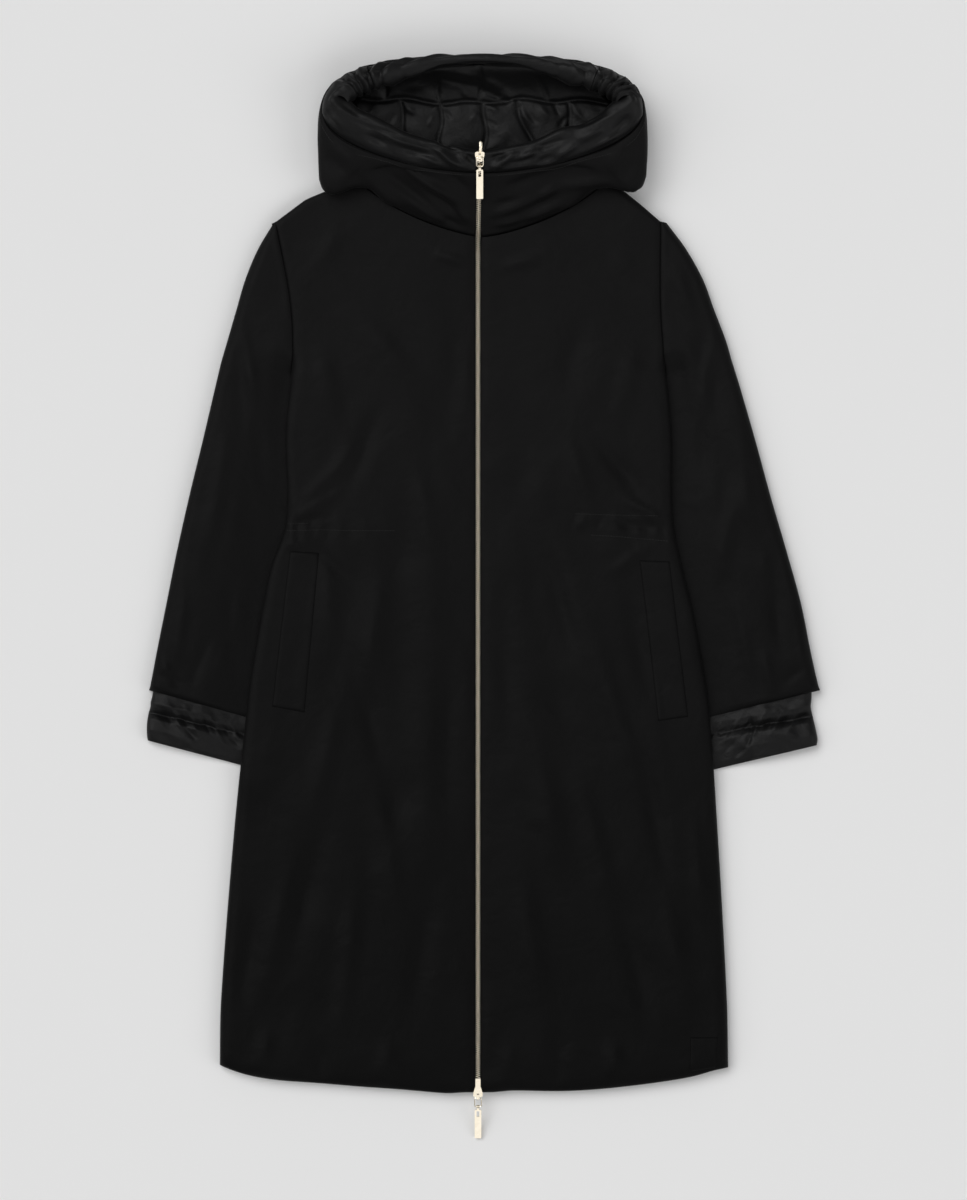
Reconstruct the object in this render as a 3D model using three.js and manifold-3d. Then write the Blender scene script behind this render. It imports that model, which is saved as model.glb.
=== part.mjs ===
// A long hooded parka laid on its back, front up, with the mouth of its hood open upwards.
// Millimetres. +X is the right of the laid coat seen from above, +Y its hood end, +Z up off the surface.
import * as THREE from "three";
import { mergeVertices } from "three/addons/utils/BufferGeometryUtils.js";
import Module from "manifold-3d";

const wasm = await Module();
wasm.setup();

// Gap between two pieces at a seam, and between layers that lie on each other.
const SEAM = 0.35;
const LAYER_GAP = 0.4;

// Padded layers of the body: full thickness, and how far the side edges lie raised on the sleeves.
const BACK_THICK = 9.5;
const FRONT_THICK = 9.5;
const EDGE_LIFT = 8.6;
const EDGE_LIFT_SQUEEZE = 4.0;
const LIFT_FLAT = 30;
const LIFT_END = 52;
const LIFT_Y = { from: -240, full: -212, fades: 266, ends: 282 };
const EDGE_ROUND = 13;
const EDGE_LEAST = { back: 0.5, front: 0.3, zip: 0.66, hem: 0.4 };
const FRONT_SQUEEZE = 2.5;

// Padded layers of the sleeves, and the share of them left where the body lies on them.
const SLEEVE_THICK = 9;
const SLEEVE_SQUEEZE = 0.42;
const SLEEVE_ROUND = 12;
const SLEEVE_TUCK = 24;
const TUCK_LEAD = 5;
const SLEEVE_LEAST = { under: 0.5, upper: 0.3 };
const SLEEVE_LOOSE = { from: 6, full: 30 };
const SQUEEZE_COLUMN = 4;
const HEM_SHARE = 0.85;

// The zip: its line, the width of one half of its chain and the slot it lies in.
const ZIP_X = -6.5;
const ZIP_TOP_X = -4.2;
const ZIP_BEND = { from: 420, to: 530 };
const CHAIN_HALF = 2.85;
const CHAIN_THICK = 3;
const CHAIN_RISE = 0.6;
const ZIP_SLOT = 3.3;
const ZIP_ROUND = 16;

// Where the chain starts and ends, turns up the hood and carries its two sliders.
const CHAIN_FROM = -578;
const CHAIN_TO = 523;
const CHAIN_STEP = 4;
const CHAIN_LEAD = 20;
const CHAIN_BEND_Y = 412;
const CHAIN_LEVELS = [0.25, 1, 2, 3, 3.6, 4];
const TOP_SLIDER_Y = 520.5;
const BOTTOM_SLIDER_Y = -580.5;
const BOTTOM_BRIDGE_SHIFT = 6;
const BOTTOM_TILT = THREE.MathUtils.degToRad(20);

// The hem's lowest line and where the back panel ends at the neck.
const HEM_Y = -581;
const HEM_CURVE = { half: 304, bow: 24, corner: 8, power: 12 };
const SIDE_HEM_Y = -549;
const BACK_NECK_Y = 486;
const WARP_Y = 385;

// Body side edges: the armholes above the underarm, the folded sides below it.
const BODY_EDGES = [
  { y: SIDE_HEM_Y, left: -311, right: 288.5 },
  { y: -472, left: -309.5, right: 287 },
  { y: -272, left: -294, right: 276 },
  { y: -142, left: -280.5, right: 267 },
  { y: -95, left: -275.5, right: 261 },
  { y: -12, left: -261.5, right: 246 },
  { y: 35, left: -252, right: 234.5 },
  { y: 94, left: -233, right: 223 },
  { y: 200, left: -233.5, right: 221 },
  { y: 288, left: -225, right: 212.5 },
  { y: 353, left: -228, right: 208.5 },
  { y: 445, left: -245, right: 209 },
];

// Shoulder lines from the armhole to the side of the neck.
const SHOULDER = {
  left: [{ x: -245, y: 445 }, { x: -209.5, y: 471 }, { x: -165, y: 484 }, { x: -120, y: 492 }],
  right: [{ x: 120, y: 492 }, { x: 158, y: 478 }, { x: 184.7, y: 463 }, { x: 209, y: 445 }],
};

// Sleeve rows from the shoulder to the hem: the outer edge, where the row meets the body's edge,
// how far it runs on under the body, and 1 where the body lies on it.
const SLEEVES = [
  { leftX: -252, rightX: 217, outerY: 437, innerY: 439, tuck: 0, under: 0 },
  { leftX: -266, rightX: 234, outerY: 413, innerY: 413, tuck: 0, under: 0 },
  { leftX: -281, rightX: 259, outerY: 377, innerY: 372, tuck: 0, under: 0 },
  { leftX: -291, rightX: 271.5, outerY: 343, innerY: 334, tuck: 0, under: 0 },
  { leftX: -302, rightX: 286, outerY: 305, innerY: 290, tuck: 0, under: 0 },
  { leftX: -309, rightX: 293, outerY: 281, innerY: 266, tuck: 0, under: 1 },
  { leftX: -316, rightX: 302, outerY: 252, innerY: 238, tuck: 0.4, under: 1 },
  { leftX: -331, rightX: 320.5, outerY: 188, innerY: 172, tuck: 1, under: 1 },
  { leftX: -347, rightX: 338.5, outerY: 122, innerY: 104, tuck: 1, under: 1 },
  { leftX: -362, rightX: 358, outerY: 55, innerY: 34, tuck: 1, under: 1 },
  { leftX: -374, rightX: 374.5, outerY: -5, innerY: -30, tuck: 1, under: 1 },
  { leftX: -385, rightX: 385.5, outerY: -60, innerY: -90, tuck: 1, under: 1 },
  { leftX: -393, rightX: 395, outerY: -102, innerY: -134, tuck: 1, under: 1 },
  { leftX: -394.5, rightX: 397, outerY: -107, innerY: -139, tuck: 1, under: 1 },
];

// Rows of the quilted inner cuffs, from the sleeve's hem outwards; puff is the share of full thickness.
const CUFFS = [
  { leftX: -392, rightX: 392, outerY: -109.2, innerY: -139.8, puff: 0.62 },
  { leftX: -393, rightX: 391.5, outerY: -115, innerY: -147, puff: 0.92 },
  { leftX: -393.5, rightX: 390, outerY: -121, innerY: -154, puff: 0.84 },
  { leftX: -393, rightX: 388.5, outerY: -127, innerY: -160, puff: 0.5 },
  { leftX: -395, rightX: 391, outerY: -134, innerY: -167, puff: 0.88 },
  { leftX: -397, rightX: 393.5, outerY: -148, innerY: -180, puff: 1 },
  { leftX: -397, rightX: 393.5, outerY: -162, innerY: -192, puff: 0.8 },
  { leftX: -396, rightX: 392.5, outerY: -169, innerY: -198, puff: 0.45 },
];
const CUFF_THICK = 7.6;

// Levels of the body panels from the hem to where the top rows start to follow neck and shoulders.
const BODY_LEVELS = [
  -520, -470, -420, -370, -320, -280, -240, -212, -175, -142, -100, -60, -20, 20, 56, 82, 100, 120,
  150, 185, 225, 250, 266, 282, 300, 328, 356,
];
const HEM_ROWS = [{ up: 0, share: 0.5 }, { up: 4, share: 0.8 }, { up: 16, share: 1 }];
const TOP_ROWS = [
  { share: 0, shoulder: 1 }, { share: 0.3, shoulder: 1 }, { share: 0.6, shoulder: 1 },
  { share: 0.86, shoulder: 0.9 }, { share: 0.96, shoulder: 0.72 }, { share: 1, shoulder: 0.45 },
];

// Columns of a body half: fixed distances from the side edge. The rest end at rows of the hood's foot.
const EDGE_COLUMNS = [0, 3, 12, LIFT_FLAT, LIFT_END];
const LEAST_COLUMN_SHARE = 0.08;
const BACK_KEEPS_EVERY = 3;

// Soft folds of the fronts: a line, its half width and its height, below zero for a trough.
const FOLDS = [
  { x0: -51, y0: 235, x1: -98, y1: 47, width: 20, height: -2.6 },
  { x0: -98, y0: 47, x1: -104, y1: -237, width: 22, height: -2.8 },
  { x0: -104, y0: -237, x1: -181, y1: -472, width: 24, height: -2.4 },
  { x0: -205, y0: 118, x1: -163, y1: 235, width: 18, height: -1.8 },
  { x0: -146, y0: 47, x1: -181, y1: -95, width: 15, height: -2.2 },
  { x0: -60, y0: 60, x1: -70, y1: -300, width: 20, height: 1.8 },
  { x0: 31, y0: 235, x1: 90, y1: -118, width: 22, height: -2.6 },
  { x0: 90, y0: -118, x1: 137, y1: -295, width: 24, height: -2.4 },
  { x0: 60, y0: 120, x1: 130, y1: -60, width: 18, height: 1.6 },
  { x0: 200, y0: -150, x1: 244, y1: -354, width: 18, height: 2.2 },
  { x0: -296, y0: -508, x1: -306, y1: -543, width: 7, height: 1.8 },
  { x0: 250, y0: -460, x1: 270, y1: -543, width: 8, height: 1.8 },
  { x0: 150, y0: 280, x1: 60, y1: 130, width: 20, height: 1.6 },
];
const SLEEVE_FOLDS = [
  { x0: -290, y0: 318, x1: -270, y1: 47, width: 13, height: -2.4 },
  { x0: -330, y0: 120, x1: -340, y1: -60, width: 14, height: 1.6 },
  { x0: 332, y0: 41, x1: 385, y1: -83, width: 11, height: 2 },
  { x0: 262, y0: 300, x1: 290, y1: 60, width: 13, height: -2.2 },
  { x0: 300, y0: -20, x1: 320, y1: -110, width: 14, height: -1.6 },
];
const FRONT_PUFF = 2.4;
const FOLD_FIELD = { edge: 15, edgeFull: 90, zip: 5, zipFull: 60, top: 330, topEnds: 460, hemFull: -540 };
const NECK_RISE = { amount: 3.6, from: 340, full: 424, inner: 60, outer: 150 };

// Welts of the side pockets and the tab at the right side seam, as four corners each.
const PATCHES = [
  {
    name: "pocket_welt_left", side: "left", thick: 2.4, rows: 7, columns: 3,
    topLeft: [-228, 57], topRight: [-194, 55], bottomLeft: [-249, -126], bottomRight: [-211, -133],
  },
  {
    name: "pocket_welt_right", side: "right", thick: 2.4, rows: 7, columns: 3,
    topLeft: [184, 46], topRight: [219, 45], bottomLeft: [206, -143], bottomRight: [241, -138],
  },
  {
    name: "hem_tab", side: "right", thick: 1.8, rows: 5, columns: 5,
    topLeft: [244, -516], topRight: [276, -516], bottomLeft: [243, -556], bottomRight: [273, -552],
  },
];
const PATCH_GAP = 0.6;
const PATCH_RIM = 0.55;

// The hood's wall: rings of its mid surface from the surface or neck seam up to the rim.
// half is half the width, centre the ring's Y, front and rear its reach; the powers make it boxy above 2.
const HOOD_X = -1;
const HOOD_WALL = 6;
const HOOD_ROLL = 11;
const ROLL = { from: 0.5, full: 0.7, falls: 0.82, ends: 0.95, middle: 0.9 };
const HOOD_RINGS = [
  {
    half: 165, centre: 530, front: 100, rear: 103, frontPower: 1.45, rearPower: 2.9,
    zFront: 15.8, zSide: 0.1, zRear: 0.1, rampFrom: 0.14, rampTo: 0.42,
  },
  {
    half: 173, centre: 542, front: 86, rear: 92, frontPower: 1.85, rearPower: 2.9,
    zFront: 29.5, zSide: 17, zRear: 17, rampFrom: 0, rampTo: 0.8,
  },
  {
    half: 187, centre: 548, front: 60, rear: 87, frontPower: 3.1, rearPower: 2.8,
    zFront: 43.5, zSide: 32, zRear: 30, rampFrom: 0, rampTo: 1,
  },
  {
    half: 184, centre: 568, front: 65, rear: 65, frontPower: 1.75, rearPower: 2.8,
    zFront: 50.5, zSide: 48, zRear: 46, rampFrom: 0, rampTo: 1,
  },
  {
    half: 175, centre: 585, front: 62, rear: 50, frontPower: 1.35, rearPower: 1.7,
    zFront: 58.5, zSide: 61, zRear: 57, rampFrom: 0, rampTo: 1,
  },
];
const STITCH_LEVEL = 3;

// The folded edge below the stitched line: set back beside the middle, out at a corner over the shoulder.
const FOLD_LEVEL = 2;
const FOLD_BACK = { amount: 24, from: 98, width: 38 };
const FOLD_CORNER = { amount: 34, from: 0.78, front: 0.26 };

const RIM_LEVEL = 4;
const RIM_LEAN = 0.5;
const HOOD_SIDE_SHARE = 0.765;
const HOOD_SPLIT = 0.002;
const FRAME_STEP = 0.01;
const GROUND_WAY = 0.25;

// The back of the hood, lying on the surface inside the wall's foot.
const HOOD_BACK = {
  half: 156, reach: 0.995, taper: 0.235, taperPower: 1.5, wideY: 532, shell: 5, lining: 6,
  puff: 2.2, seamStepX: 52, seamStepY: 34, leastBend: 0.02,
};

// Zip pulls: a slider with a bridge, a wire bail through it and a tab that swings on the bail.
const SLIDER = {
  width: 11, length: 12, plate: 1.6, play: 0.3, post: 2.4, lower: 5.4, lowerPlate: 1.2,
  slim: 0.62, shoulder: 0.2, heel: 0.8, sink: 0.2,
};
const BRIDGE = { width: 2.6, from: -4.4, to: 3.2, rise: 3.6, wall: 1.1, corner: 1, slant: 1.4 };
const EYE = { length: 2.6, from: 0.3, to: 2.5 };
const BAIL = { wire: 0.75, half: 3.9, length: 11, round: 1.6, steps: 24, sides: 6 };
const TAB = {
  width: 7.9, length: 40, thick: 1.8, neck: 3.6, knuckle: 2, hole: 1.15, sides: 16,
  stem: 1.6, stemHalf: 1.3, lap: 0.4, corner: 1, chamfer: 0.6,
};
const TAB_WINDOW = { width: 3.2, length: 7, inset: 2 };
const PIVOT_HEIGHT = SLIDER.play + SLIDER.plate + (EYE.from + EYE.to) / 2;

// Colours of the materials.
const SHELL_BLACK = new THREE.MeshStandardMaterial({ color: 0x17171a, roughness: 0.85, metalness: 0 });
const LINING_BLACK = new THREE.MeshStandardMaterial({ color: 0x1f1f22, roughness: 0.35, metalness: 0 });
const PALE_GOLD = new THREE.MeshStandardMaterial({ color: 0xcdb58a, roughness: 0.3, metalness: 1 });

const coat = new THREE.Group();

function addPiece(name, geometry, material, parent = coat) {
  const mesh = new THREE.Mesh(geometry, material.clone());
  mesh.name = name;
  parent.add(mesh);
  return mesh;
}

const lerp = THREE.MathUtils.lerp;
const clamp = THREE.MathUtils.clamp;
const ramp = (value, from, to) => clamp((value - from) / (to - from), 0, 1);
const smooth = (value, from, to) => THREE.MathUtils.smoothstep(value, from, to);

// Height share of a padded edge, rounded over the given distance from the edge.
function edgeShare(distance, round, least) {
  const rest = 1 - clamp(distance / round, 0, 1);
  return least + (1 - least) * Math.sqrt(1 - rest * rest);
}

// Smooth value of one column of a table, read at a place along another column that rises.
function tableValue(table, place, column, at) {
  const last = table.length - 1;
  if (at <= table[0][place]) return table[0][column];
  if (at >= table[last][place]) return table[last][column];
  let k = 0;
  while (table[k + 1][place] < at) k += 1;
  const slope = (i) => {
    const a = table[Math.max(i - 1, 0)];
    const b = table[Math.min(i + 1, last)];
    return (b[column] - a[column]) / (b[place] - a[place]);
  };
  const span = table[k + 1][place] - table[k][place];
  const t = (at - table[k][place]) / span;
  const t2 = t * t;
  const t3 = t2 * t;
  return table[k][column] * (2 * t3 - 3 * t2 + 1) + slope(k) * span * (t3 - 2 * t2 + t)
    + table[k + 1][column] * (3 * t2 - 2 * t3) + slope(k + 1) * span * (t3 - t2);
}

// Straight-line value of y along a short list of points with rising x.
function lineValue(points, x) {
  let k = 0;
  while (k < points.length - 2 && points[k + 1].x < x) k += 1;
  const a = points[k];
  const b = points[k + 1];
  return lerp(a.y, b.y, (x - a.x) / (b.x - a.x));
}

// A wall between two grids of points, its face and its back, closed along all four edges.
function thickSheet(face, back) {
  const rows = face.length;
  const columns = face[0].length;
  const positions = [...face.flat(), ...back.flat()].flatMap((p) => [p.x, p.y, p.z]);
  const index = [];
  const at = (side, i, j) => (side * rows + i) * columns + j;
  const quad = (a, b, c, d) => index.push(a, b, c, a, c, d);
  for (let i = 0; i + 1 < rows; i += 1) {
    for (let j = 0; j + 1 < columns; j += 1) {
      quad(at(0, i, j), at(0, i, j + 1), at(0, i + 1, j + 1), at(0, i + 1, j));
      quad(at(1, i, j), at(1, i + 1, j), at(1, i + 1, j + 1), at(1, i, j + 1));
    }
  }
  const top = rows - 1;
  const end = columns - 1;
  for (let j = 0; j < end; j += 1) {
    quad(at(0, 0, j), at(1, 0, j), at(1, 0, j + 1), at(0, 0, j + 1));
    quad(at(0, top, j), at(0, top, j + 1), at(1, top, j + 1), at(1, top, j));
  }
  for (let i = 0; i < top; i += 1) {
    quad(at(0, i, 0), at(0, i + 1, 0), at(1, i + 1, 0), at(1, i, 0));
    quad(at(0, i, end), at(1, i, end), at(1, i + 1, end), at(0, i + 1, end));
  }
  if (enclosedVolume(positions, index) < 0) index.reverse();
  const geometry = new THREE.BufferGeometry();
  geometry.setAttribute("position", new THREE.Float32BufferAttribute(positions, 3));
  geometry.setIndex(index);
  return geometry;
}

function enclosedVolume(positions, index) {
  const a = new THREE.Vector3();
  const b = new THREE.Vector3();
  const c = new THREE.Vector3();
  let volume = 0;
  for (let k = 0; k < index.length; k += 3) {
    a.fromArray(positions, 3 * index[k]);
    b.fromArray(positions, 3 * index[k + 1]);
    c.fromArray(positions, 3 * index[k + 2]);
    volume += a.dot(b.cross(c)) / 6;
  }
  return volume;
}

// One solid from several closed ones.
function joined(geometries) {
  const solids = geometries.map((geometry) => {
    const bare = geometry.clone();
    bare.deleteAttribute("normal");
    bare.deleteAttribute("uv");
    const merged = mergeVertices(bare, 1e-4);
    return new wasm.Manifold(new wasm.Mesh({
      numProp: 3,
      vertProperties: new Float32Array(merged.attributes.position.array),
      triVerts: new Uint32Array(merged.index.array),
    }));
  });
  const whole = solids.reduce((sum, solid) => sum.add(solid)).getMesh();
  const geometry = new THREE.BufferGeometry();
  geometry.setAttribute("position", new THREE.Float32BufferAttribute(whole.vertProperties, 3));
  geometry.setIndex([...whole.triVerts]);
  return geometry;
}

// Height added by a table of soft folds.
function foldHeight(folds, x, y) {
  let sum = 0;
  for (const fold of folds) {
    const dx = fold.x1 - fold.x0;
    const dy = fold.y1 - fold.y0;
    const t = clamp(((x - fold.x0) * dx + (y - fold.y0) * dy) / (dx * dx + dy * dy), 0, 1);
    const away = Math.hypot(x - fold.x0 - t * dx, y - fold.y0 - t * dy) / fold.width;
    sum += fold.height * Math.exp(-away * away);
  }
  return sum;
}

const edgeX = (side, y) => tableValue(BODY_EDGES, "y", side, y);
const inwards = { left: 1, right: -1 };

function zipX(y) {
  return lerp(ZIP_X, ZIP_TOP_X, ramp(y, ZIP_BEND.from, ZIP_BEND.to));
}

function hemY(x) {
  const reach = Math.min(Math.abs(x - ZIP_X) / HEM_CURVE.half, 1);
  return HEM_Y + HEM_CURVE.bow * reach * reach + HEM_CURVE.corner * Math.pow(reach, HEM_CURVE.power);
}

// Angle round a ring, with the rear half's first steps shortened to the given share.
function rearTurn(angle, lean) {
  const beyond = angle / (Math.PI / 2) - 1;
  return beyond > 0 ? Math.PI / 2 * (1 + beyond * (lean + (1 - lean) * beyond)) : angle;
}

// How far the folded edge lies back from its ring's own curve, below zero out over the shoulder.
function foldShift(across, half, c) {
  const back = (across - FOLD_BACK.from) / FOLD_BACK.width;
  const corner = smooth(across / half, FOLD_CORNER.from, 1) * Math.min(c / FOLD_CORNER.front, 1);
  return FOLD_BACK.amount * Math.exp(-back * back) - FOLD_CORNER.amount * corner;
}

// Point of the hood wall's mid surface. way runs 0 to 1 from the zip's edge to the rear middle.
function ringPoint(ring, side, way) {
  const frontEdge = zipX(ring.centre - ring.front) + side * ZIP_SLOT;
  const start = Math.asin(side * (frontEdge - HOOD_X) / ring.half);
  const angle = rearTurn(lerp(start, Math.PI, way), ring === HOOD_RINGS[RIM_LEVEL] ? RIM_LEAN : 1);
  const s = Math.sin(angle);
  const c = Math.cos(angle);
  const power = c > 0 ? ring.frontPower : ring.rearPower;
  const q = Math.pow(Math.pow(Math.abs(s), power) + Math.pow(Math.abs(c), power), -1 / power);
  const reach = c > 0 ? ring.front : ring.rear;
  const share = c > 0 ? smooth(c, ring.rampFrom, ring.rampTo) : -c;
  const across = side * ring.half * s * q;
  const atFold = ring === HOOD_RINGS[FOLD_LEVEL] && c > 0;
  const folded = atFold ? foldShift(Math.abs(across), ring.half, c) : 0;
  return new THREE.Vector3(
    HOOD_X + across,
    ring.centre - reach * c * q + folded,
    lerp(ring.zSide, c > 0 ? ring.zFront : ring.zRear, share),
  );
}

// The same at any level between the rings.
function hoodMid(side, way, level) {
  const points = HOOD_RINGS.map((ring) => ringPoint(ring, side, way));
  return new THREE.CatmullRomCurve3(points, false, "centripetal").getPoint(level / RIM_LEVEL);
}

// Directions at a point of the hood's wall: out of the coat, and up along the wall.
function hoodFrame(side, way, level) {
  const step = FRAME_STEP;
  const along = hoodMid(side, Math.min(way + step, 1), level);
  along.sub(hoodMid(side, Math.max(way - step, 0), level));
  const up = hoodMid(side, way, Math.min(level + step, RIM_LEVEL));
  up.sub(hoodMid(side, way, Math.max(level - step, 0))).normalize();
  const out = along.cross(up).multiplyScalar(side).normalize();
  return { out, up };
}

function hoodPoint(side, way, level, offset, rise = 0) {
  const point = hoodMid(side, way, level);
  const { out, up } = hoodFrame(side, way, level);
  point.addScaledVector(out, offset).addScaledVector(up, rise);
  if (way === 0) point.x = zipX(point.y) + side * ZIP_SLOT;
  if (level === 0 && way > GROUND_WAY) point.z = Math.max(point.z, 0);
  return point;
}

// Thickness of the lining side of the wall; it rolls fat over the rear corners of the rim.
function liningReach(way, level) {
  const corner = smooth(way, ROLL.from, ROLL.full) * (1 - ROLL.middle * smooth(way, ROLL.falls, ROLL.ends));
  return HOOD_WALL + HOOD_ROLL * corner * smooth(level, 1, RIM_LEVEL);
}

const WALL_LEVELS = [0, 0.5, 1, 1.5, 2, 2.5, 2.95];
const RIM_LEVELS = [3.5, 4];
const RIM_TURNS = [40, 80, 120, 155];
const RIM_RISE = 0.75;
const LIP = { level: 3.5, above: 0.05, inset: 0.6 };

function shellRow(side, way) {
  return {
    face: WALL_LEVELS.map((level) => hoodPoint(side, way, level, HOOD_WALL)),
    back: WALL_LEVELS.map((level) => hoodPoint(side, way, level, SEAM / 2)),
  };
}

// The lining runs up inside, rolls over the rim and comes down outside to the stitched line.
function liningRow(side, way) {
  const inside = [...WALL_LEVELS, ...RIM_LEVELS];
  const face = inside.map((level) => hoodPoint(side, way, level, -liningReach(way, level)));
  const reach = liningReach(way, RIM_LEVEL);
  const radius = (HOOD_WALL + reach) / 2;
  for (const turn of RIM_TURNS) {
    const angle = THREE.MathUtils.degToRad(turn);
    const offset = (HOOD_WALL - reach) / 2 - radius * Math.cos(angle);
    face.push(hoodPoint(side, way, RIM_LEVEL, offset, RIM_RISE * radius * Math.sin(angle)));
  }
  face.push(hoodPoint(side, way, LIP.level, HOOD_WALL));
  face.push(hoodPoint(side, way, STITCH_LEVEL + LIP.above, HOOD_WALL));
  const back = WALL_LEVELS.map((level) => hoodPoint(side, way, level, -SEAM / 2));
  const turned = face.length - back.length;
  for (let k = 0; k < turned; k += 1) {
    const offset = lerp(-SEAM / 2, HOOD_WALL - LIP.inset, k / (turned - 1));
    back.push(hoodPoint(side, way, STITCH_LEVEL, offset));
  }
  return { face, back };
}

// Rows of one hood piece between two places along the ring, counted on each side from the zip.
function hoodPiece(rowAt, places) {
  const rows = places.map(({ side, way }) => rowAt(side, way));
  return thickSheet(rows.map((row) => row.face), rows.map((row) => row.back));
}

function hoodPlaces(side, from, to, count) {
  return Array.from({ length: count + 1 }, (_, k) => ({ side, way: lerp(from, to, k / count) }));
}

const HOOD_ROWS = 13;
const NECK_ROWS = 8;
const NECK_GAP = 1.2 * SEAM;
const NECK_MARGIN = 2;
const HOOD_REAR_ROWS = 5;

function buildHoodWall() {
  for (const [side, word] of [[-1, "left"], [1, "right"]]) {
    const places = hoodPlaces(side, 0, HOOD_SIDE_SHARE, HOOD_ROWS);
    addPiece(`hood_side_${word}`, hoodPiece(shellRow, places), SHELL_BLACK);
    addPiece(`hood_lining_${word}`, hoodPiece(liningRow, places), LINING_BLACK);
  }
  const start = HOOD_SIDE_SHARE + HOOD_SPLIT;
  const places = [
    ...hoodPlaces(-1, start, 1, HOOD_REAR_ROWS),
    ...hoodPlaces(1, start, 1, HOOD_REAR_ROWS).reverse().slice(1),
  ];
  addPiece("hood_centre", hoodPiece(shellRow, places), SHELL_BLACK);
  addPiece("hood_lining_centre", hoodPiece(liningRow, places), LINING_BLACK);
}

// Rear reach of the hood's back at a share of its half width.
function hoodBackEdge(share) {
  const ring = HOOD_RINGS[0];
  const bend = Math.pow(1 - Math.pow(Math.abs(share), ring.rearPower), 1 / ring.rearPower);
  return ring.centre + (ring.rear - HOOD_WALL - 2 * SEAM) * Math.max(bend, HOOD_BACK.leastBend);
}

// Brick quilting of the hood's back: low along the seams.
function quiltShare(x, y) {
  const row = Math.floor((y - BACK_NECK_Y) / HOOD_BACK.seamStepY);
  const shift = row % 2 === 0 ? 0 : HOOD_BACK.seamStepX / 2;
  const across = Math.sin(Math.PI * (x + shift) / HOOD_BACK.seamStepX);
  const along = Math.sin(Math.PI * (y - BACK_NECK_Y) / HOOD_BACK.seamStepY);
  return Math.sqrt(Math.abs(across * along));
}

function hoodBackGrid({ rows, columns }, height) {
  return Array.from({ length: rows + 1 }, (_, i) => Array.from({ length: columns + 1 }, (_, j) => {
    const share = HOOD_BACK.reach * (2 * j / columns - 1);
    const y = lerp(BACK_NECK_Y + SEAM, hoodBackEdge(share), i / rows);
    const short = Math.pow(1 - ramp(y, BACK_NECK_Y, HOOD_BACK.wideY), HOOD_BACK.taperPower);
    const x = HOOD_X + HOOD_BACK.half * (1 - HOOD_BACK.taper * short) * share;
    return new THREE.Vector3(x, y, height(x, y));
  }));
}

function buildHoodBack() {
  const foot = HOOD_BACK.shell + LAYER_GAP;
  const plain = { rows: 5, columns: 8 };
  const fine = { rows: 12, columns: 18 };
  const seamHeight = foot + HOOD_BACK.lining - HOOD_BACK.puff;
  const quilted = (x, y) => seamHeight + HOOD_BACK.puff * quiltShare(x, y);
  addPiece("hood_back", thickSheet(
    hoodBackGrid(plain, () => HOOD_BACK.shell),
    hoodBackGrid(plain, () => 0),
  ), SHELL_BLACK);
  addPiece("hood_back_lining", thickSheet(
    hoodBackGrid(fine, quilted),
    hoodBackGrid(fine, () => foot),
  ), LINING_BLACK);
}

// The neck seam: the outer foot of each side of the hood, from the zip outwards.
const neckFeet = (turn) => hoodPlaces(turn, 0, HOOD_SIDE_SHARE, HOOD_ROWS).slice(0, NECK_ROWS)
  .map(({ way }) => hoodPoint(turn, way, 0, HOOD_WALL));
const NECK_FEET = { left: neckFeet(-1), right: neckFeet(1) };
const NECK_LINE = [...NECK_FEET.left].reverse().concat(NECK_FEET.right);

function neckY(x) {
  if (x <= NECK_LINE[0].x || x >= NECK_LINE[NECK_LINE.length - 1].x) return Infinity;
  return lineValue(NECK_LINE, x) - NECK_GAP;
}

// Upper end of a front panel at a given x: the shoulder line, or the neck seam where that is lower.
function frontTopY(side, x) {
  return Math.min(lineValue(SHOULDER[side], x), neckY(x));
}

// Shares of the way from the last edge column to the zip where the hood's foot has its rows.
function innerShares(side) {
  const top = BODY_EDGES[BODY_EDGES.length - 1].y;
  const from = edgeX(side, top) + inwards[side] * LIFT_END;
  const to = zipX(top) - inwards[side] * ZIP_SLOT;
  const shares = NECK_FEET[side].slice(1).map((foot) => (foot.x - from) / (to - from));
  return [...shares.filter((share) => share > LEAST_COLUMN_SHARE).reverse(), 1];
}

// Places of one body half: columns from the side edge to the zip, rows from the hem upwards.
function bodyPlaces(side, topY, keep = () => true) {
  const turn = inwards[side];
  const shares = innerShares(side).filter(keep);
  const columnX = (y, j) => {
    const edge = edgeX(side, y);
    if (j < EDGE_COLUMNS.length) return edge + turn * EDGE_COLUMNS[j];
    const from = edge + turn * LIFT_END;
    return lerp(from, zipX(y) - turn * ZIP_SLOT, shares[j - EDGE_COLUMNS.length]);
  };
  const columns = EDGE_COLUMNS.length + shares.length;
  const across = Array.from({ length: columns }, (_, j) => j);
  const place = (x, y, hem, shoulder) => ({ side, x, y, hem, shoulder });
  const rows = [];
  for (const { up, share } of HEM_ROWS) {
    rows.push(across.map((j) => {
      const x = columnX(SIDE_HEM_Y, j);
      return place(x, hemY(x) + up, share, 1);
    }));
  }
  for (const y of BODY_LEVELS) rows.push(across.map((j) => place(columnX(y, j), y, 1, 1)));
  const edgeTop = BODY_EDGES[BODY_EDGES.length - 1].y;
  for (const { share, shoulder } of TOP_ROWS) {
    rows.push(across.map((j) => {
      const x = columnX(lerp(WARP_Y, edgeTop, share), j);
      const y = lerp(WARP_Y, topY(side, x), share);
      const neck = neckY(x) < lineValue(SHOULDER[side], x) + NECK_MARGIN;
      return place(x, y, 1, neck ? 1 : shoulder);
    }));
  }
  return side === "left" ? rows : rows.map((row) => row.reverse());
}

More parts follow.
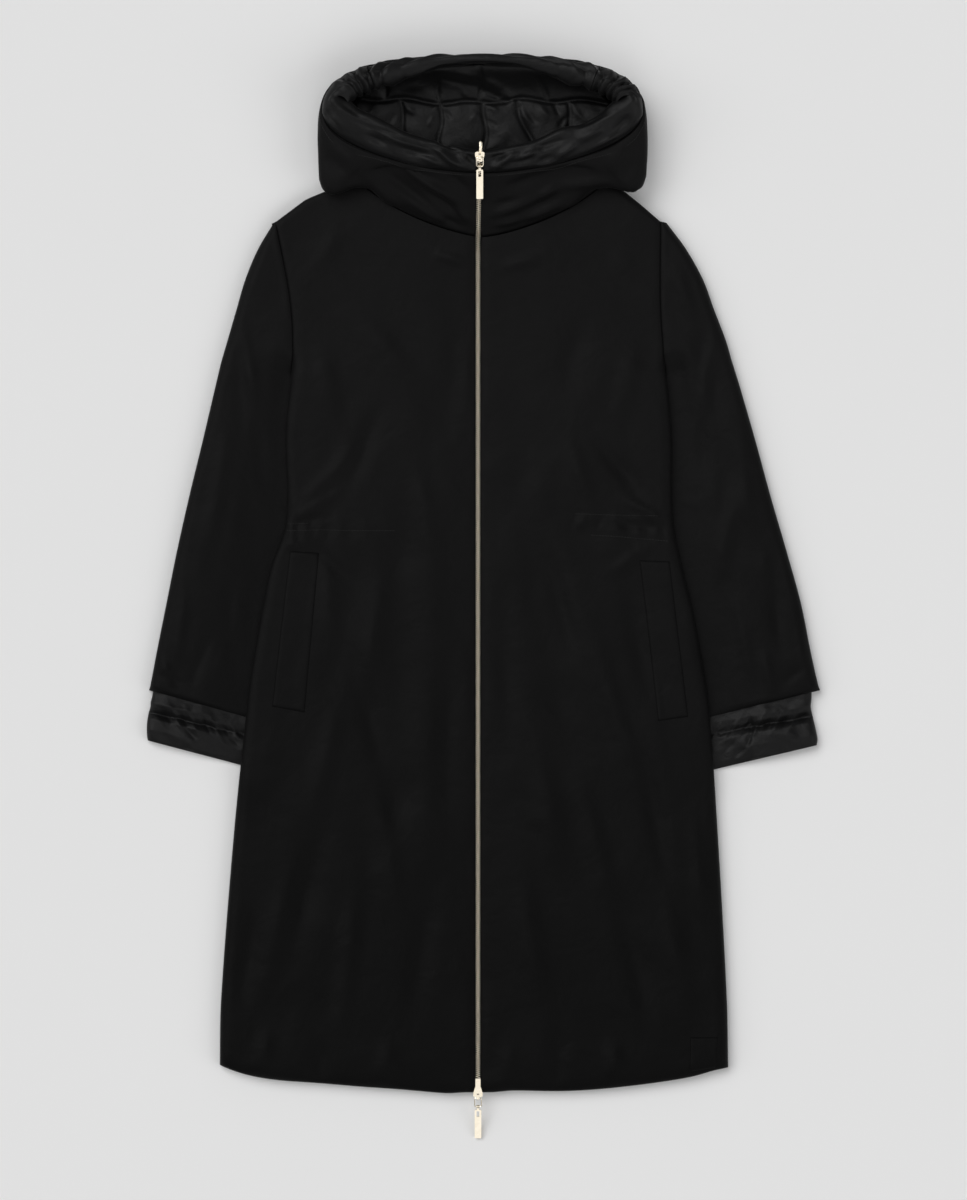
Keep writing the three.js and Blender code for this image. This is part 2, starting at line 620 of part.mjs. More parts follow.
// How far the body's side lies raised on the sleeve under it.
function liftAt({ side, x, y }) {
  const from = Math.abs(x - edgeX(side, y));
  const level = Math.min(ramp(y, LIFT_Y.from, LIFT_Y.full), 1 - ramp(y, LIFT_Y.fades, LIFT_Y.ends));
  return EDGE_LIFT * level * (1 - ramp(from, LIFT_FLAT, LIFT_END));
}

function backHeights(place) {
  const lift = liftAt(place);
  const from = Math.abs(place.x - edgeX(place.side, place.y));
  const thick = BACK_THICK - EDGE_LIFT_SQUEEZE * lift / EDGE_LIFT;
  const share = edgeShare(from, EDGE_ROUND, EDGE_LEAST.back) * lerp(EDGE_LEAST.hem, 1, place.hem);
  return { low: lift, high: lift + thick * share };
}

// Share of the folds' height: none at the edges, the zip, the chest and the hem.
function foldShare(fromEdge, fromZip, y) {
  const { edge, edgeFull, zip, zipFull, top, topEnds, hemFull } = FOLD_FIELD;
  const across = smooth(fromEdge, edge, edgeFull) * smooth(fromZip, zip, zipFull);
  return across * (1 - smooth(y, top, topEnds)) * smooth(y, HEM_Y, hemFull);
}

function frontHeights(place) {
  const { side, x, y } = place;
  const end = place.hem * place.shoulder;
  const low = backHeights(place).high + LAYER_GAP;
  const lift = liftAt(place) / EDGE_LIFT;
  const fromEdge = Math.abs(x - edgeX(side, y));
  const fromZip = Math.abs(x - zipX(y)) - ZIP_SLOT;
  const neckRise = NECK_RISE.amount * smooth(y, NECK_RISE.from, NECK_RISE.full)
    * (1 - smooth(Math.abs(x), NECK_RISE.inner, NECK_RISE.outer));
  const folds = (foldHeight(FOLDS, x, y) + FRONT_PUFF) * foldShare(fromEdge, fromZip, y) * end;
  const edges = edgeShare(fromEdge, EDGE_ROUND, EDGE_LEAST.front)
    * edgeShare(fromZip, ZIP_ROUND, EDGE_LEAST.zip) * end;
  return { low, high: low + (FRONT_THICK - FRONT_SQUEEZE * lift) * edges + neckRise + folds };
}

function heightGrids(places, heights) {
  const lift = (pick) => places.map((row) => row.map((place) => (
    new THREE.Vector3(place.x, place.y, heights(place)[pick]))));
  return { face: lift("high"), back: lift("low") };
}

const FRONTS = {};

function buildBody() {
  for (const side of ["left", "right"]) {
    FRONTS[side] = heightGrids(bodyPlaces(side, frontTopY), frontHeights);
    const { face, back } = FRONTS[side];
    addPiece(`front_${side}`, thickSheet(face, back), SHELL_BLACK);
  }
  const backTopY = (side, x) => Math.min(lineValue(SHOULDER[side], x), BACK_NECK_Y);
  const sparse = (share, k) => k % BACK_KEEPS_EVERY === 0 || share === 1;
  const left = bodyPlaces("left", backTopY, sparse);
  const right = bodyPlaces("right", backTopY, sparse);
  const whole = left.map((row, i) => [...row, ...right[i]]);
  const { face, back } = heightGrids(whole, backHeights);
  addPiece("back_panel", thickSheet(face, back), SHELL_BLACK);
}

// Height of a triangle over a place, or none when the place lies outside it.
function heightInside(p, q, r, x, y) {
  const slack = 1e-6;
  const area = (q.x - p.x) * (r.y - p.y) - (r.x - p.x) * (q.y - p.y);
  const u = ((x - p.x) * (r.y - p.y) - (r.x - p.x) * (y - p.y)) / area;
  const v = ((q.x - p.x) * (y - p.y) - (x - p.x) * (q.y - p.y)) / area;
  const inside = u >= -slack && v >= -slack && u + v <= 1 + slack;
  return inside ? p.z + u * (q.z - p.z) + v * (r.z - p.z) : null;
}

// Height of a front's outer face at any place, read from its own triangles.
function faceHeight(grid, x, y) {
  for (let i = 0; i + 1 < grid.length; i += 1) {
    for (let j = 0; j + 1 < grid[0].length; j += 1) {
      const [a, b, c, d] = [grid[i][j], grid[i][j + 1], grid[i + 1][j + 1], grid[i + 1][j]];
      const height = heightInside(a, b, c, x, y) ?? heightInside(a, c, d, x, y);
      if (height !== null) return height;
    }
  }
  throw new Error(`no face under ${x}, ${y}`);
}

// A point of a patch between its four corners, raised from the front by the given rise.
function patchPoint(patch, u, v, rise) {
  const [x, y] = [0, 1].map((k) => lerp(
    lerp(patch.bottomLeft[k], patch.bottomRight[k], u),
    lerp(patch.topLeft[k], patch.topRight[k], u),
    v,
  ));
  return new THREE.Vector3(x, y, faceHeight(FRONTS[patch.side].face, x, y) + rise);
}

// Flat patches sewn on a front, a little rounded at their edges.
function buildPatches() {
  for (const patch of PATCHES) {
    const { rows, columns, thick } = patch;
    const onRim = (i, j) => i === 0 || i === rows || j === 0 || j === columns;
    const grid = (rise) => Array.from({ length: rows + 1 }, (_, i) => (
      Array.from({ length: columns + 1 }, (__, j) => (
        patchPoint(patch, j / columns, i / rows, rise(onRim(i, j)))))));
    const face = grid((rim) => PATCH_GAP + thick * (rim ? PATCH_RIM : 1));
    addPiece(patch.name, thickSheet(face, grid(() => PATCH_GAP)), SHELL_BLACK);
  }
}

// Places of a sleeve or cuff: columns from the outer edge to the edge under the body.
const SLEEVE_COLUMNS = [0, 0.03, 0.11, 0.28, 0.48, 0.68, 0.86, 1];
const TUCK_COLUMNS = [0.5, 0.85, 1];

function sleevePlaces(side, row, column) {
  const turn = inwards[side];
  const { tuck = 1, under = 1 } = row;
  const bodyX = edgeX(side, row.innerY) - turn * 2 * SEAM;
  const outerX = side === "left" ? row.leftX : row.rightX;
  const crossX = bodyX - turn * TUCK_LEAD;
  const innerX = bodyX + turn * tuck * SLEEVE_TUCK;
  const slope = (row.innerY - row.outerY) / (bodyX - outerX);
  const last = SLEEVE_COLUMNS.length;
  const x = column < last ? lerp(outerX, crossX, SLEEVE_COLUMNS[column])
    : lerp(crossX, innerX, TUCK_COLUMNS[column - last]);
  const squeeze = under * smooth(column, SQUEEZE_COLUMN, last - 1);
  const y = row.outerY + slope * (x - outerX);
  return { side, x, y, fromOuter: Math.abs(x - outerX), squeeze };
}

function underHeights(place, thick, share) {
  const full = thick * lerp(1, SLEEVE_SQUEEZE, place.squeeze) * share;
  return { low: 0, high: full * edgeShare(place.fromOuter, SLEEVE_ROUND, SLEEVE_LEAST.under) };
}

function upperHeights(place, thick, share, folds) {
  const low = underHeights(place, thick, share).high + LAYER_GAP;
  const full = thick * lerp(1, SLEEVE_SQUEEZE, place.squeeze) * share;
  const loose = (1 - place.squeeze) * smooth(place.fromOuter, SLEEVE_LOOSE.from, SLEEVE_LOOSE.full);
  const relief = foldHeight(folds, place.x, place.y) * loose;
  const edge = edgeShare(place.fromOuter, SLEEVE_ROUND, SLEEVE_LEAST.upper);
  return { low, high: low + full * edge + relief };
}

function buildTube({ name, rows, thick, shareAt, folds, material }, side) {
  const columns = SLEEVE_COLUMNS.length + TUCK_COLUMNS.length;
  const places = rows.map((row) => Array.from({ length: columns }, (_, j) => (
    { ...sleevePlaces(side, row, j), share: shareAt(row) })));
  const under = heightGrids(places, (place) => underHeights(place, thick, place.share));
  const upper = heightGrids(places, (place) => upperHeights(place, thick, place.share, folds));
  addPiece(`${name}_${side}_under`, thickSheet(under.face, under.back), material);
  addPiece(`${name}_${side}_upper`, thickSheet(upper.face, upper.back), material);
}

function buildSleeves() {
  const hemRow = SLEEVES[SLEEVES.length - 1];
  const sleeve = {
    name: "sleeve", rows: SLEEVES, thick: SLEEVE_THICK, folds: SLEEVE_FOLDS, material: SHELL_BLACK,
    shareAt: (row) => (row === hemRow ? HEM_SHARE : 1),
  };
  const cuff = {
    name: "cuff", rows: CUFFS, thick: CUFF_THICK, folds: [], material: LINING_BLACK,
    shareAt: (row) => row.puff,
  };
  for (const side of ["left", "right"]) {
    buildTube(sleeve, side);
    buildTube(cuff, side);
  }
}

// The top of the zip's chain, seen from the side: along the fronts, then up the front of the hood.
function chainPath() {
  const { left, right } = FRONTS;
  const points = left.face.slice(HEM_ROWS.length).map((row, i) => {
    const a = row[row.length - 1];
    const b = right.face[i + HEM_ROWS.length][0];
    return { y: (a.y + b.y) / 2, z: (a.z + b.z) / 2 + CHAIN_RISE };
  }).filter((point) => point.y < CHAIN_BEND_Y);
  points.unshift({ y: CHAIN_FROM - CHAIN_LEAD, z: points[0].z });
  for (const level of CHAIN_LEVELS) {
    const a = hoodPoint(-1, 0, level, HOOD_WALL);
    const b = hoodPoint(1, 0, level, HOOD_WALL);
    points.push({ y: (a.y + b.y) / 2, z: (a.z + b.z) / 2 + CHAIN_RISE });
  }
  return points;
}

// A place along the chain, counted from its lower end, with the direction of the zip there.
function chainPlace(path, y) {
  let k = 0;
  while (k < path.length - 2 && path[k + 1].y < y) k += 1;
  const a = path[k];
  const b = path[k + 1];
  const slope = (b.z - a.z) / (b.y - a.y);
  return { x: zipX(y), y, z: a.z + slope * (y - a.y), tilt: Math.atan(slope) };
}

function buildChain(path) {
  const between = path.map((point) => point.y)
    .filter((y) => y > CHAIN_FROM + CHAIN_STEP && y < CHAIN_TO - CHAIN_STEP);
  const ys = [CHAIN_FROM, ...between, CHAIN_TO];
  for (const [name, turn] of [["zip_chain_left", -1], ["zip_chain_right", 1]]) {
    const strip = (drop) => ys.map((y) => {
      const place = chainPlace(path, y);
      return [turn * SEAM / 2, turn * CHAIN_HALF].map((dx) => (
        new THREE.Vector3(place.x + dx, y, place.z - drop)));
    });
    addPiece(name, thickSheet(strip(0), strip(CHAIN_THICK)), PALE_GOLD);
  }
}

// Outline from [x, y] points, pushed up from a height by a thickness.
function plate(points, from, thick, holes = []) {
  const flat = (line) => line.map(([x, y]) => new THREE.Vector2(x, y));
  const shape = new THREE.Shape(flat(points));
  for (const hole of holes) shape.holes.push(new THREE.Path(flat(hole)));
  const geometry = new THREE.ExtrudeGeometry(shape, { depth: thick, bevelEnabled: false });
  return geometry.translate(0, 0, from);
}

// The same from [y, z] points, as wide along X as given and centred on it.
function crossPlate(points, width, holes = []) {
  const geometry = plate(points, -width / 2, width, holes);
  const basis = new THREE.Matrix4().makeBasis(
    new THREE.Vector3(0, 1, 0), new THREE.Vector3(0, 0, 1), new THREE.Vector3(1, 0, 0),
  );
  return geometry.applyMatrix4(basis);
}

const box = (x0, x1, y0, y1) => [[x0, y0], [x1, y0], [x1, y1], [x0, y1]];

// The slider. Local +Y is where its pull hangs, the chain's top lies at z = 0; mouth is +1 or -1,
// the end where the chain goes in.
function sliderGeometry(mouth, bridgeShift) {
  const { play, plate: thick, post, lower, lowerPlate, sink } = SLIDER;
  const half = SLIDER.length / 2;
  const lowerFace = -CHAIN_THICK - play;
  const postEnds = [-mouth * half, -mouth * (half - post)].sort((a, b) => a - b);
  return joined([
    plate(sliderOutline(mouth), play, thick),
    plate(box(-post / 2, post / 2, ...postEnds), lowerFace - sink, CHAIN_THICK + 2 * (play + sink)),
    plate(box(-lower / 2, lower / 2, -half, half), lowerFace - lowerPlate, lowerPlate),
    bridgeGeometry(play + thick, bridgeShift),
  ]);
}

// The slider's upper plate: slim at both ends, with shoulders and heels.
function sliderOutline(mouth) {
  const half = mouth * SLIDER.length / 2;
  const wide = SLIDER.width / 2;
  const slim = wide * SLIDER.slim;
  const side = [
    [slim, -half], [wide, -half * SLIDER.heel], [wide, -half * SLIDER.shoulder], [slim, half],
  ];
  return [...side, ...side.map(([x, y]) => [-x, y]).reverse()];
}

// The bridge on the slider, with the eye that the bail goes through.
function bridgeGeometry(top, shift) {
  const from = BRIDGE.from + shift;
  const to = BRIDGE.to + shift;
  const head = top + BRIDGE.rise;
  const foot = top - SLIDER.sink;
  const arch = [
    [from, foot], [to, foot], [to, head - BRIDGE.corner], [to - BRIDGE.corner, head],
    [from + BRIDGE.slant, head], [from, head - BRIDGE.slant],
  ];
  const eyeEnd = to - BRIDGE.wall;
  const eye = box(eyeEnd - EYE.length, eyeEnd, top + EYE.from, top + EYE.to);
  return crossPlate(arch, BRIDGE.width, [eye]);
}

// A closed ring of wire, its upper bar on the pivot and its lower bar at the end of its length.
function bailGeometry() {
  const { wire, half, length, round, steps, sides } = BAIL;
  const route = new THREE.CurvePath();
  const corner = (x, y) => new THREE.Vector3(x, y, 0);
  const ring = [[-half, 0, 1, 1], [half, 0, -1, 1], [half, length, -1, -1], [-half, length, 1, -1]];
  ring.forEach(([x, y, inX, inY], k) => {
    const [nextX, nextY, nextInX, nextInY] = ring[(k + 1) % ring.length];
    const alongX = x !== nextX;
    const start = corner(x + (alongX ? inX * round : 0), y + (alongX ? 0 : inY * round));
    const stop = corner(nextX + (alongX ? nextInX * round : 0), nextY + (alongX ? 0 : nextInY * round));
    const after = corner(nextX + (alongX ? 0 : nextInX * round), nextY + (alongX ? nextInY * round : 0));
    route.add(new THREE.LineCurve3(start, stop));
    route.add(new THREE.QuadraticBezierCurve3(stop, corner(nextX, nextY), after));
  });
  const face = [];
  for (let i = 0; i < steps; i += 1) {
    const point = route.getPointAt(i / steps);
    const out = new THREE.Vector3(point.x, point.y - length / 2, 0);
    const ahead = route.getPointAt(((i + 0.2) % steps) / steps).sub(point).normalize();
    out.addScaledVector(ahead, -out.dot(ahead)).normalize();
    face.push(Array.from({ length: sides }, (_, k) => {
      const angle = 2 * Math.PI * (k + 0.5) / sides;
      return point.clone().addScaledVector(out, wire * Math.cos(angle)).setZ(wire * Math.sin(angle));
    }));
  }
  const positions = face.flat().flatMap((p) => [p.x, p.y, p.z]);
  const index = [];
  for (let i = 0; i < steps; i += 1) {
    for (let k = 0; k < sides; k += 1) {
      const a = i * sides + k;
      const b = i * sides + (k + 1) % sides;
      const c = ((i + 1) % steps) * sides + (k + 1) % sides;
      const d = ((i + 1) % steps) * sides + k;
      index.push(a, b, c, a, c, d);
    }
  }
  if (enclosedVolume(positions, index) < 0) index.reverse();
  const geometry = new THREE.BufferGeometry();
  geometry.setAttribute("position", new THREE.Float32BufferAttribute(positions, 3));
  geometry.setIndex(index);
  return geometry;
}

// The pull tab: a knuckle round the bail's lower bar, a short neck and a plate with a window.
function tabGeometry() {
  const { length, thick, corner, chamfer, stemHalf, lap } = TAB;
  const circle = (radius) => Array.from({ length: TAB.sides }, (_, k) => {
    const angle = 2 * Math.PI * k / TAB.sides;
    return [radius * Math.cos(angle), radius * Math.sin(angle)];
  });
  const start = TAB.knuckle + TAB.stem;
  const half = TAB.width / 2;
  const windowHalf = TAB_WINDOW.width / 2;
  const windowFrom = start + TAB_WINDOW.inset;
  const window = box(-windowHalf, windowHalf, windowFrom, windowFrom + TAB_WINDOW.length);
  const side = [
    [half - corner, start], [half, start + corner], [half, length - chamfer], [half - chamfer, length],
  ];
  const outline = [...side, ...side.map(([x, y]) => [-x, y]).reverse()];
  return joined([
    crossPlate(circle(TAB.knuckle), TAB.neck, [circle(TAB.hole)]),
    plate(box(-stemHalf, stemHalf, TAB.hole + lap, start + lap), -thick / 2, thick),
    plate(outline, -thick / 2, thick, [window]),
  ]);
}

// A frame whose +Y hangs down the front of the coat by a tilt, with the given origin.
function pullFrame(x, y, z, tilt) {
  const frame = new THREE.Group();
  const down = new THREE.Vector3(0, -Math.cos(tilt), -Math.sin(tilt));
  const out = new THREE.Vector3(0, -Math.sin(tilt), Math.cos(tilt));
  const basis = new THREE.Matrix4().makeBasis(new THREE.Vector3(-1, 0, 0), down, out);
  frame.applyMatrix4(basis);
  frame.position.set(x, y, z);
  coat.add(frame);
  return frame;
}

// Slider, bail and tab at a place along the chain.
function buildPull(word, place, mouth, bridgeShift, bailTilt) {
  const frame = pullFrame(place.x, place.y, place.z, place.tilt);
  addPiece(`slider_${word}`, sliderGeometry(mouth, bridgeShift), PALE_GOLD, frame);
  const pivotY = BRIDGE.to + bridgeShift - BRIDGE.wall - EYE.length / 2;
  const hang = new THREE.Group();
  hang.position.set(0, pivotY, PIVOT_HEIGHT);
  hang.rotation.x = -bailTilt;
  frame.add(hang);
  addPiece(`bail_${word}`, bailGeometry(), PALE_GOLD, hang);
  const tab = addPiece(`pull_${word}`, tabGeometry(), PALE_GOLD, hang);
  tab.position.y = BAIL.length;
}

function buildZip() {
  const path = chainPath();
  buildChain(path);
  buildPull("top", chainPlace(path, TOP_SLIDER_Y), 1, 0, 0);
  buildPull("bottom", chainPlace(path, BOTTOM_SLIDER_Y), -1, BOTTOM_BRIDGE_SHIFT, BOTTOM_TILT);
}

buildHoodWall();
buildHoodBack();
buildBody();
buildPatches();
buildSleeves();
buildZip();

// The origin is the middle of the coat's outline, on the surface it lies on.
coat.updateMatrixWorld(true);
const bounds = new THREE.Box3().setFromObject(coat, true);
const middle = bounds.getCenter(new THREE.Vector3());
coat.position.set(-middle.x, -middle.y, -bounds.min.z);
coat.updateMatrixWorld(true);

export default coat;
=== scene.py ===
import math

import bpy
import numpy as np
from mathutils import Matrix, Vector
from mathutils.bvhtree import BVHTree

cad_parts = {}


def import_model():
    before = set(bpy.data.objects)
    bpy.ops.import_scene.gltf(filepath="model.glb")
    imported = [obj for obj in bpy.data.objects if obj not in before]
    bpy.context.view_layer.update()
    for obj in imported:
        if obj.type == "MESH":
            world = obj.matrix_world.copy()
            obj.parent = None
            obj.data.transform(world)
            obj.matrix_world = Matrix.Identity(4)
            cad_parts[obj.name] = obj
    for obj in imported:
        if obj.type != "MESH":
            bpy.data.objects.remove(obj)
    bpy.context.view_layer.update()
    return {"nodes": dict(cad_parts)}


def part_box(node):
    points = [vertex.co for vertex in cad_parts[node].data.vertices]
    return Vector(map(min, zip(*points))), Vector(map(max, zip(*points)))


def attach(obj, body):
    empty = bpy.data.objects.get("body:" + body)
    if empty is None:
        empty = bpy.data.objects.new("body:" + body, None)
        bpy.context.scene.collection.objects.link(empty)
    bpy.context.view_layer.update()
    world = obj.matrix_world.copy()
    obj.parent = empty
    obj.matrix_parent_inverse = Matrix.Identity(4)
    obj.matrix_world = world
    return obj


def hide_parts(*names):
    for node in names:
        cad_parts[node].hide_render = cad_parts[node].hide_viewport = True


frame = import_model()

# Millimetres of the coat's drawing become metres of the frame.
HEM_Y = -581
SHIFT = np.array([0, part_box("back_panel")[0][1] * 1000 - HEM_Y, 0])
PIXEL = 1.18


def world(points):
    return (np.asarray(points, float) + SHIFT) / 1000


# Camera: straight above the coat, as in the photo.
CAMERA_HEIGHT, CAMERA_Y, SENSOR, FRAME_ROWS = 12, -0.59, 24, 1200
camera = bpy.data.objects.new("camera", bpy.data.cameras.new("camera"))
camera.data.sensor_fit = "VERTICAL"
camera.data.sensor_height = SENSOR
camera.data.lens = SENSOR * CAMERA_HEIGHT / (FRAME_ROWS * PIXEL / 1000)
camera.location = (*world((0, CAMERA_Y, 0))[:2], CAMERA_HEIGHT)
bpy.context.scene.collection.objects.link(camera)
bpy.context.scene.camera = camera

# The coat's layers and lines, as in its solids. Side -1 is the left one in the photo, 1 the right one.
SIDES = ((-1, "left"), (1, "right"))
SEAM, LAYER_GAP = 0.35, 0.4
BACK_THICK, FRONT_THICK, EDGE_ROUND = 9.5, 9.5, 13
EDGE_LIFT, EDGE_LIFT_SQUEEZE, LIFT_FLAT, LIFT_END = 8.6, 4, 30, 52
SLEEVE_THICK, SLEEVE_SQUEEZE, SLEEVE_ROUND, SLEEVE_TUCK, TUCK_LEAD = 9, 0.42, 12, 24, 5
ZIP_X, ZIP_TOP_X, ZIP_SLOT, ZIP_ROUND = -6.5, -4.2, 3.3, 16
CHAIN_HALF, CHAIN_THICK, CHAIN_RISE, CHAIN_FROM, CHAIN_TO = 2.85, 3, 0.6, -578, 523
BACK_NECK_Y, WARP_Y, SIDE_HEM_Y, SHOULDER_Y = 486, 385, -549, 445
FRONT_PUFF, CUFF_THICK = 2.4, 7.6
EDGE_Y = [-549, -472, -272, -142, -95, -12, 35, 94, 200, 288, 353, 445]
EDGE_X = {
    -1: [-311, -309.5, -294, -280.5, -275.5, -261.5, -252, -233, -233.5, -225, -228, -245],
    1: [288.5, 287, 276, 267, 261, 246, 234.5, 223, 221, 212.5, 208.5, 209],
}
SHOULDER = {-1: [(-245, 445), (-209.5, 471.5), (-170, 488), (-120, 500)],
            1: [(120, 502), (156, 489), (184.7, 466), (209, 445)]}
# Sleeve rows: left and right outer edge, outer Y, inner Y, run under the body, 1 where that lies on it.
SLEEVES = np.array([
    (-247.5, 216, 444, 445.5, 0, 0), (-266, 239, 413, 413, 0, 0), (-281, 259, 377, 372, 0, 0),
    (-291, 271.5, 343, 334, 0, 0), (-302, 286, 305, 290, 0, 0), (-309, 293, 281, 266, 0, 1),
    (-316, 302, 252, 238, 0.4, 1), (-331, 320.5, 188, 172, 1, 1), (-347, 338.5, 122, 104, 1, 1),
    (-362, 358, 55, 34, 1, 1), (-374, 374.5, -5, -30, 1, 1), (-385, 385.5, -60, -90, 1, 1),
    (-393, 395, -102, -134, 1, 1), (-394.5, 397, -107, -139, 1, 1)], float)
# Cuff rows: left and right outer edge, outer Y, inner Y, share of the full thickness.
CUFFS = np.array([
    (-389.5, 387, -106, -137, 0.84), (-391, 387, -115, -147, 0.98),
    (-392.5, 386.5, -121, -154, 0.9), (-393, 386, -127, -160, 0.6), (-395, 387.5, -134, -167, 0.92),
    (-397, 391, -148, -180, 1), (-397, 394, -162, -192, 0.8), (-396, 393, -169, -198, 0.45)])
# Hood rings: half width, centre, front and rear reach, their powers, heights, and where the front rises.
HOOD_X, HOOD_WALL, HOOD_ROLL, RIM, STITCHED, RIM_LEAN = -1, 6, 11, 4, 3, 0.5
HOOD_RINGS = np.array([
    (165, 530, 100, 103, 1.45, 2.9, 15.8, 0.1, 0.1, 0.14, 0.42),
    (173, 542, 86, 92, 1.85, 2.9, 29.5, 17, 17, 0, 0.8),
    (187, 548, 60, 87, 3.1, 2.8, 43.5, 32, 30, 0, 1),
    (184, 568, 65, 65, 1.75, 2.8, 50.5, 48, 46, 0, 1),
    (175, 585, 62, 50, 1.35, 1.7, 58.5, 61, 57, 0, 1)])
FOLD_LEVEL, FOLD_BACK, FOLD_CORNER = 2, (24, 98, 38), ({-1: 39, 1: 35}, 0.78, 0.26)
HOOD_SIDE_SHARE, HOOD_SPLIT = 0.765, 0.002
BACK_HALF, BACK_SHELL, BACK_LINING, BACK_TAPER, BACK_WIDE_Y = 162, 5, 6, 0.235, 532

# Folds of the fronts and sleeves, as in the solids: a line, its half width and its height.
FOLDS = [
    (-51, 235, -98, 47, 20, -2.6), (-98, 47, -104, -237, 22, -2.8), (-104, -237, -181, -472, 24, -2.4),
    (-205, 118, -163, 235, 18, -1.8), (-146, 47, -181, -95, 15, -2.2), (-60, 60, -70, -300, 20, 1.8),
    (31, 235, 90, -118, 22, -2.6), (90, -118, 137, -295, 24, -2.4), (60, 120, 130, -60, 18, 1.6),
    (200, -150, 244, -354, 18, 2.2), (-296, -508, -306, -543, 7, 1.8), (250, -460, 270, -543, 8, 1.8),
    (150, 280, 60, 130, 20, 1.6)]
SLEEVE_FOLDS = [
    (-290, 318, -270, 47, 13, -2.4), (-330, 120, -340, -60, 14, 1.6), (332, 41, 385, -83, 11, 2),
    (262, 300, 290, 60, 13, -2.2), (300, -20, 320, -110, 14, -1.6)]

# Finer creases: soft troughs below zero, ridges above, each fading at its ends.
FRONT_CREASES = [
    (-222, 96, -168, 128, 5, 0.9), (-226, 88, -180, 98, 4, -0.8), (-214, 112, -150, 178, 8, 1),
    (-205, 66, -158, 22, 6, -0.8), (-188, 60, -178, -60, 9, 0.8), (-232, 66, -214, 62, 4, 0.9),
    (-160, 130, -120, 232, 11, -1.2), (-120, 20, -142, -118, 10, 1.1), (-80, 180, -66, 60, 12, 0.9),
    (-150, -60, -120, -200, 12, -1.2), (-172, -120, -200, -250, 12, 1.1), (-128, -210, -100, -380, 14, 1.2),
    (-190, -262, -226, -420, 15, -1.3), (-150, -330, -168, -500, 11, 1.2), (-222, -300, -262, -470, 12, 1),
    (-60, -320, -84, -500, 14, -1), (-268, -350, -284, -480, 9, -0.9), (-40, -60, -46, -250, 12, -0.8),
    (-256, -505, -262, -560, 8, 1), (-196, -520, -190, -570, 9, -1), (-110, -520, -118, -575, 10, 0.9),
    (210, 94, 160, 122, 5, 0.9), (212, 84, 150, 90, 4, -0.8), (196, 66, 150, 30, 6, 0.8),
    (120, 100, 112, 82, 4, 1.1), (138, 98, 132, 84, 4, -0.9), (190, 120, 130, 190, 9, -1),
    (100, 190, 128, 96, 10, 1), (76, 60, 108, -70, 11, -1.2), (170, 20, 196, -120, 12, -0.9),
    (132, -60, 176, -200, 12, 1.2), (186, -160, 216, -330, 11, -1.2), (110, -200, 150, -360, 13, 1.3),
    (62, -160, 88, -330, 13, 0.9), (214, -340, 240, -500, 12, 1.1), (160, -340, 196, -500, 13, -1.2),
    (44, -330, 70, -500, 14, 1), (24, 20, 30, -180, 12, -0.7), (246, -250, 262, -400, 9, 1),
    (90, -500, 86, -572, 10, -1), (150, -520, 158, -566, 9, 1), (30, -520, 28, -576, 10, 0.8),
    (-140, 330, -80, 250, 15, 0.8), (120, 340, 90, 240, 15, -0.8), (-190, 300, -176, 200, 12, 0.8),
    (176, 300, 160, 210, 12, 0.9), (-30, 330, -44, 180, 12, -0.6), (-60, 408, -20, 396, 7, 0.9),
    (70, 404, 24, 392, 7, 0.8), (150, 410, 180, 380, 10, 0.7), (-170, 430, -200, 390, 10, 0.7)]
# Gathers along the waist casing: X of each, the casing's Y there, half height, half width and rise.
WAIST_GATHERS = [
    (-229, 84, 20, 3, 1.5), (-221, 85, 17, 2.6, -1.1), (-213, 84, 21, 3.2, 1.3), (-204, 84, 15, 2.6, -1),
    (-195, 83, 18, 3.4, 1), (-184, 82, 14, 3, -0.8), (-172, 82, 17, 3.8, 0.9), (-158, 81, 13, 3.4, -0.6),
    (-141, 81, 14, 4, 0.6), (-122, 81, 10, 3.6, -0.4), (218, 84, 20, 3, 1.5), (210, 84, 17, 2.8, -1.1),
    (201, 85, 20, 3.2, 1.2), (191, 85, 15, 2.8, -1), (180, 86, 18, 3.6, 1), (168, 87, 15, 3.2, -0.8),
    (155, 88, 16, 3.8, 0.9), (141, 90, 12, 3.2, -0.7), (128, 92, 12, 3.4, 0.6)]
# Sewn lines on the fronts: they pull the cloth down a little and carry the stitches.
WAIST_LINES = {
    -1: [[(-232, 81), (-190, 82), (-150, 81), (-104, 81)], [(-231, 89), (-205, 90)]],
    1: [[(108, 101), (150, 99.5), (208, 98.5)], [(126, 76), (160, 74), (220, 68.5)]]}
SLEEVE_CREASES = [
    (-286, 330, -262, 190, 8, 1), (-268, 250, -258, 120, 9, -1.1), (-304, 200, -322, 60, 10, 0.9),
    (-276, 40, -300, -80, 9, 1.1), (-300, 10, -290, -110, 8, -1), (-352, 20, -362, -80, 8, 0.9),
    (-322, -40, -344, -100, 7, -0.9), (-378, -70, -368, -102, 4, 1.1), (-384, -84, -352, -104, 4, -0.8),
    (-246, 300, -256, 210, 8, 0.8), (-318, -100, -300, -50, 7, 0.8), (-272, -20, -268, -118, 8, -0.8),
    (272, 320, 250, 190, 8, 1), (252, 260, 262, 120, 9, -1), (300, 200, 316, 70, 10, 0.8),
    (300, 130, 270, 10, 10, 1), (340, 60, 350, -60, 9, -1.1), (372, -20, 386, -92, 6, 1.1),
    (296, 0, 316, -96, 8, 0.9), (270, -30, 286, -118, 8, -0.9), (330, -60, 340, -112, 6, 0.8),
    (380, -78, 350, -100, 4, -0.8), (240, 300, 246, 220, 8, 0.7), (226, 390, 246, 330, 9, 0.7)]
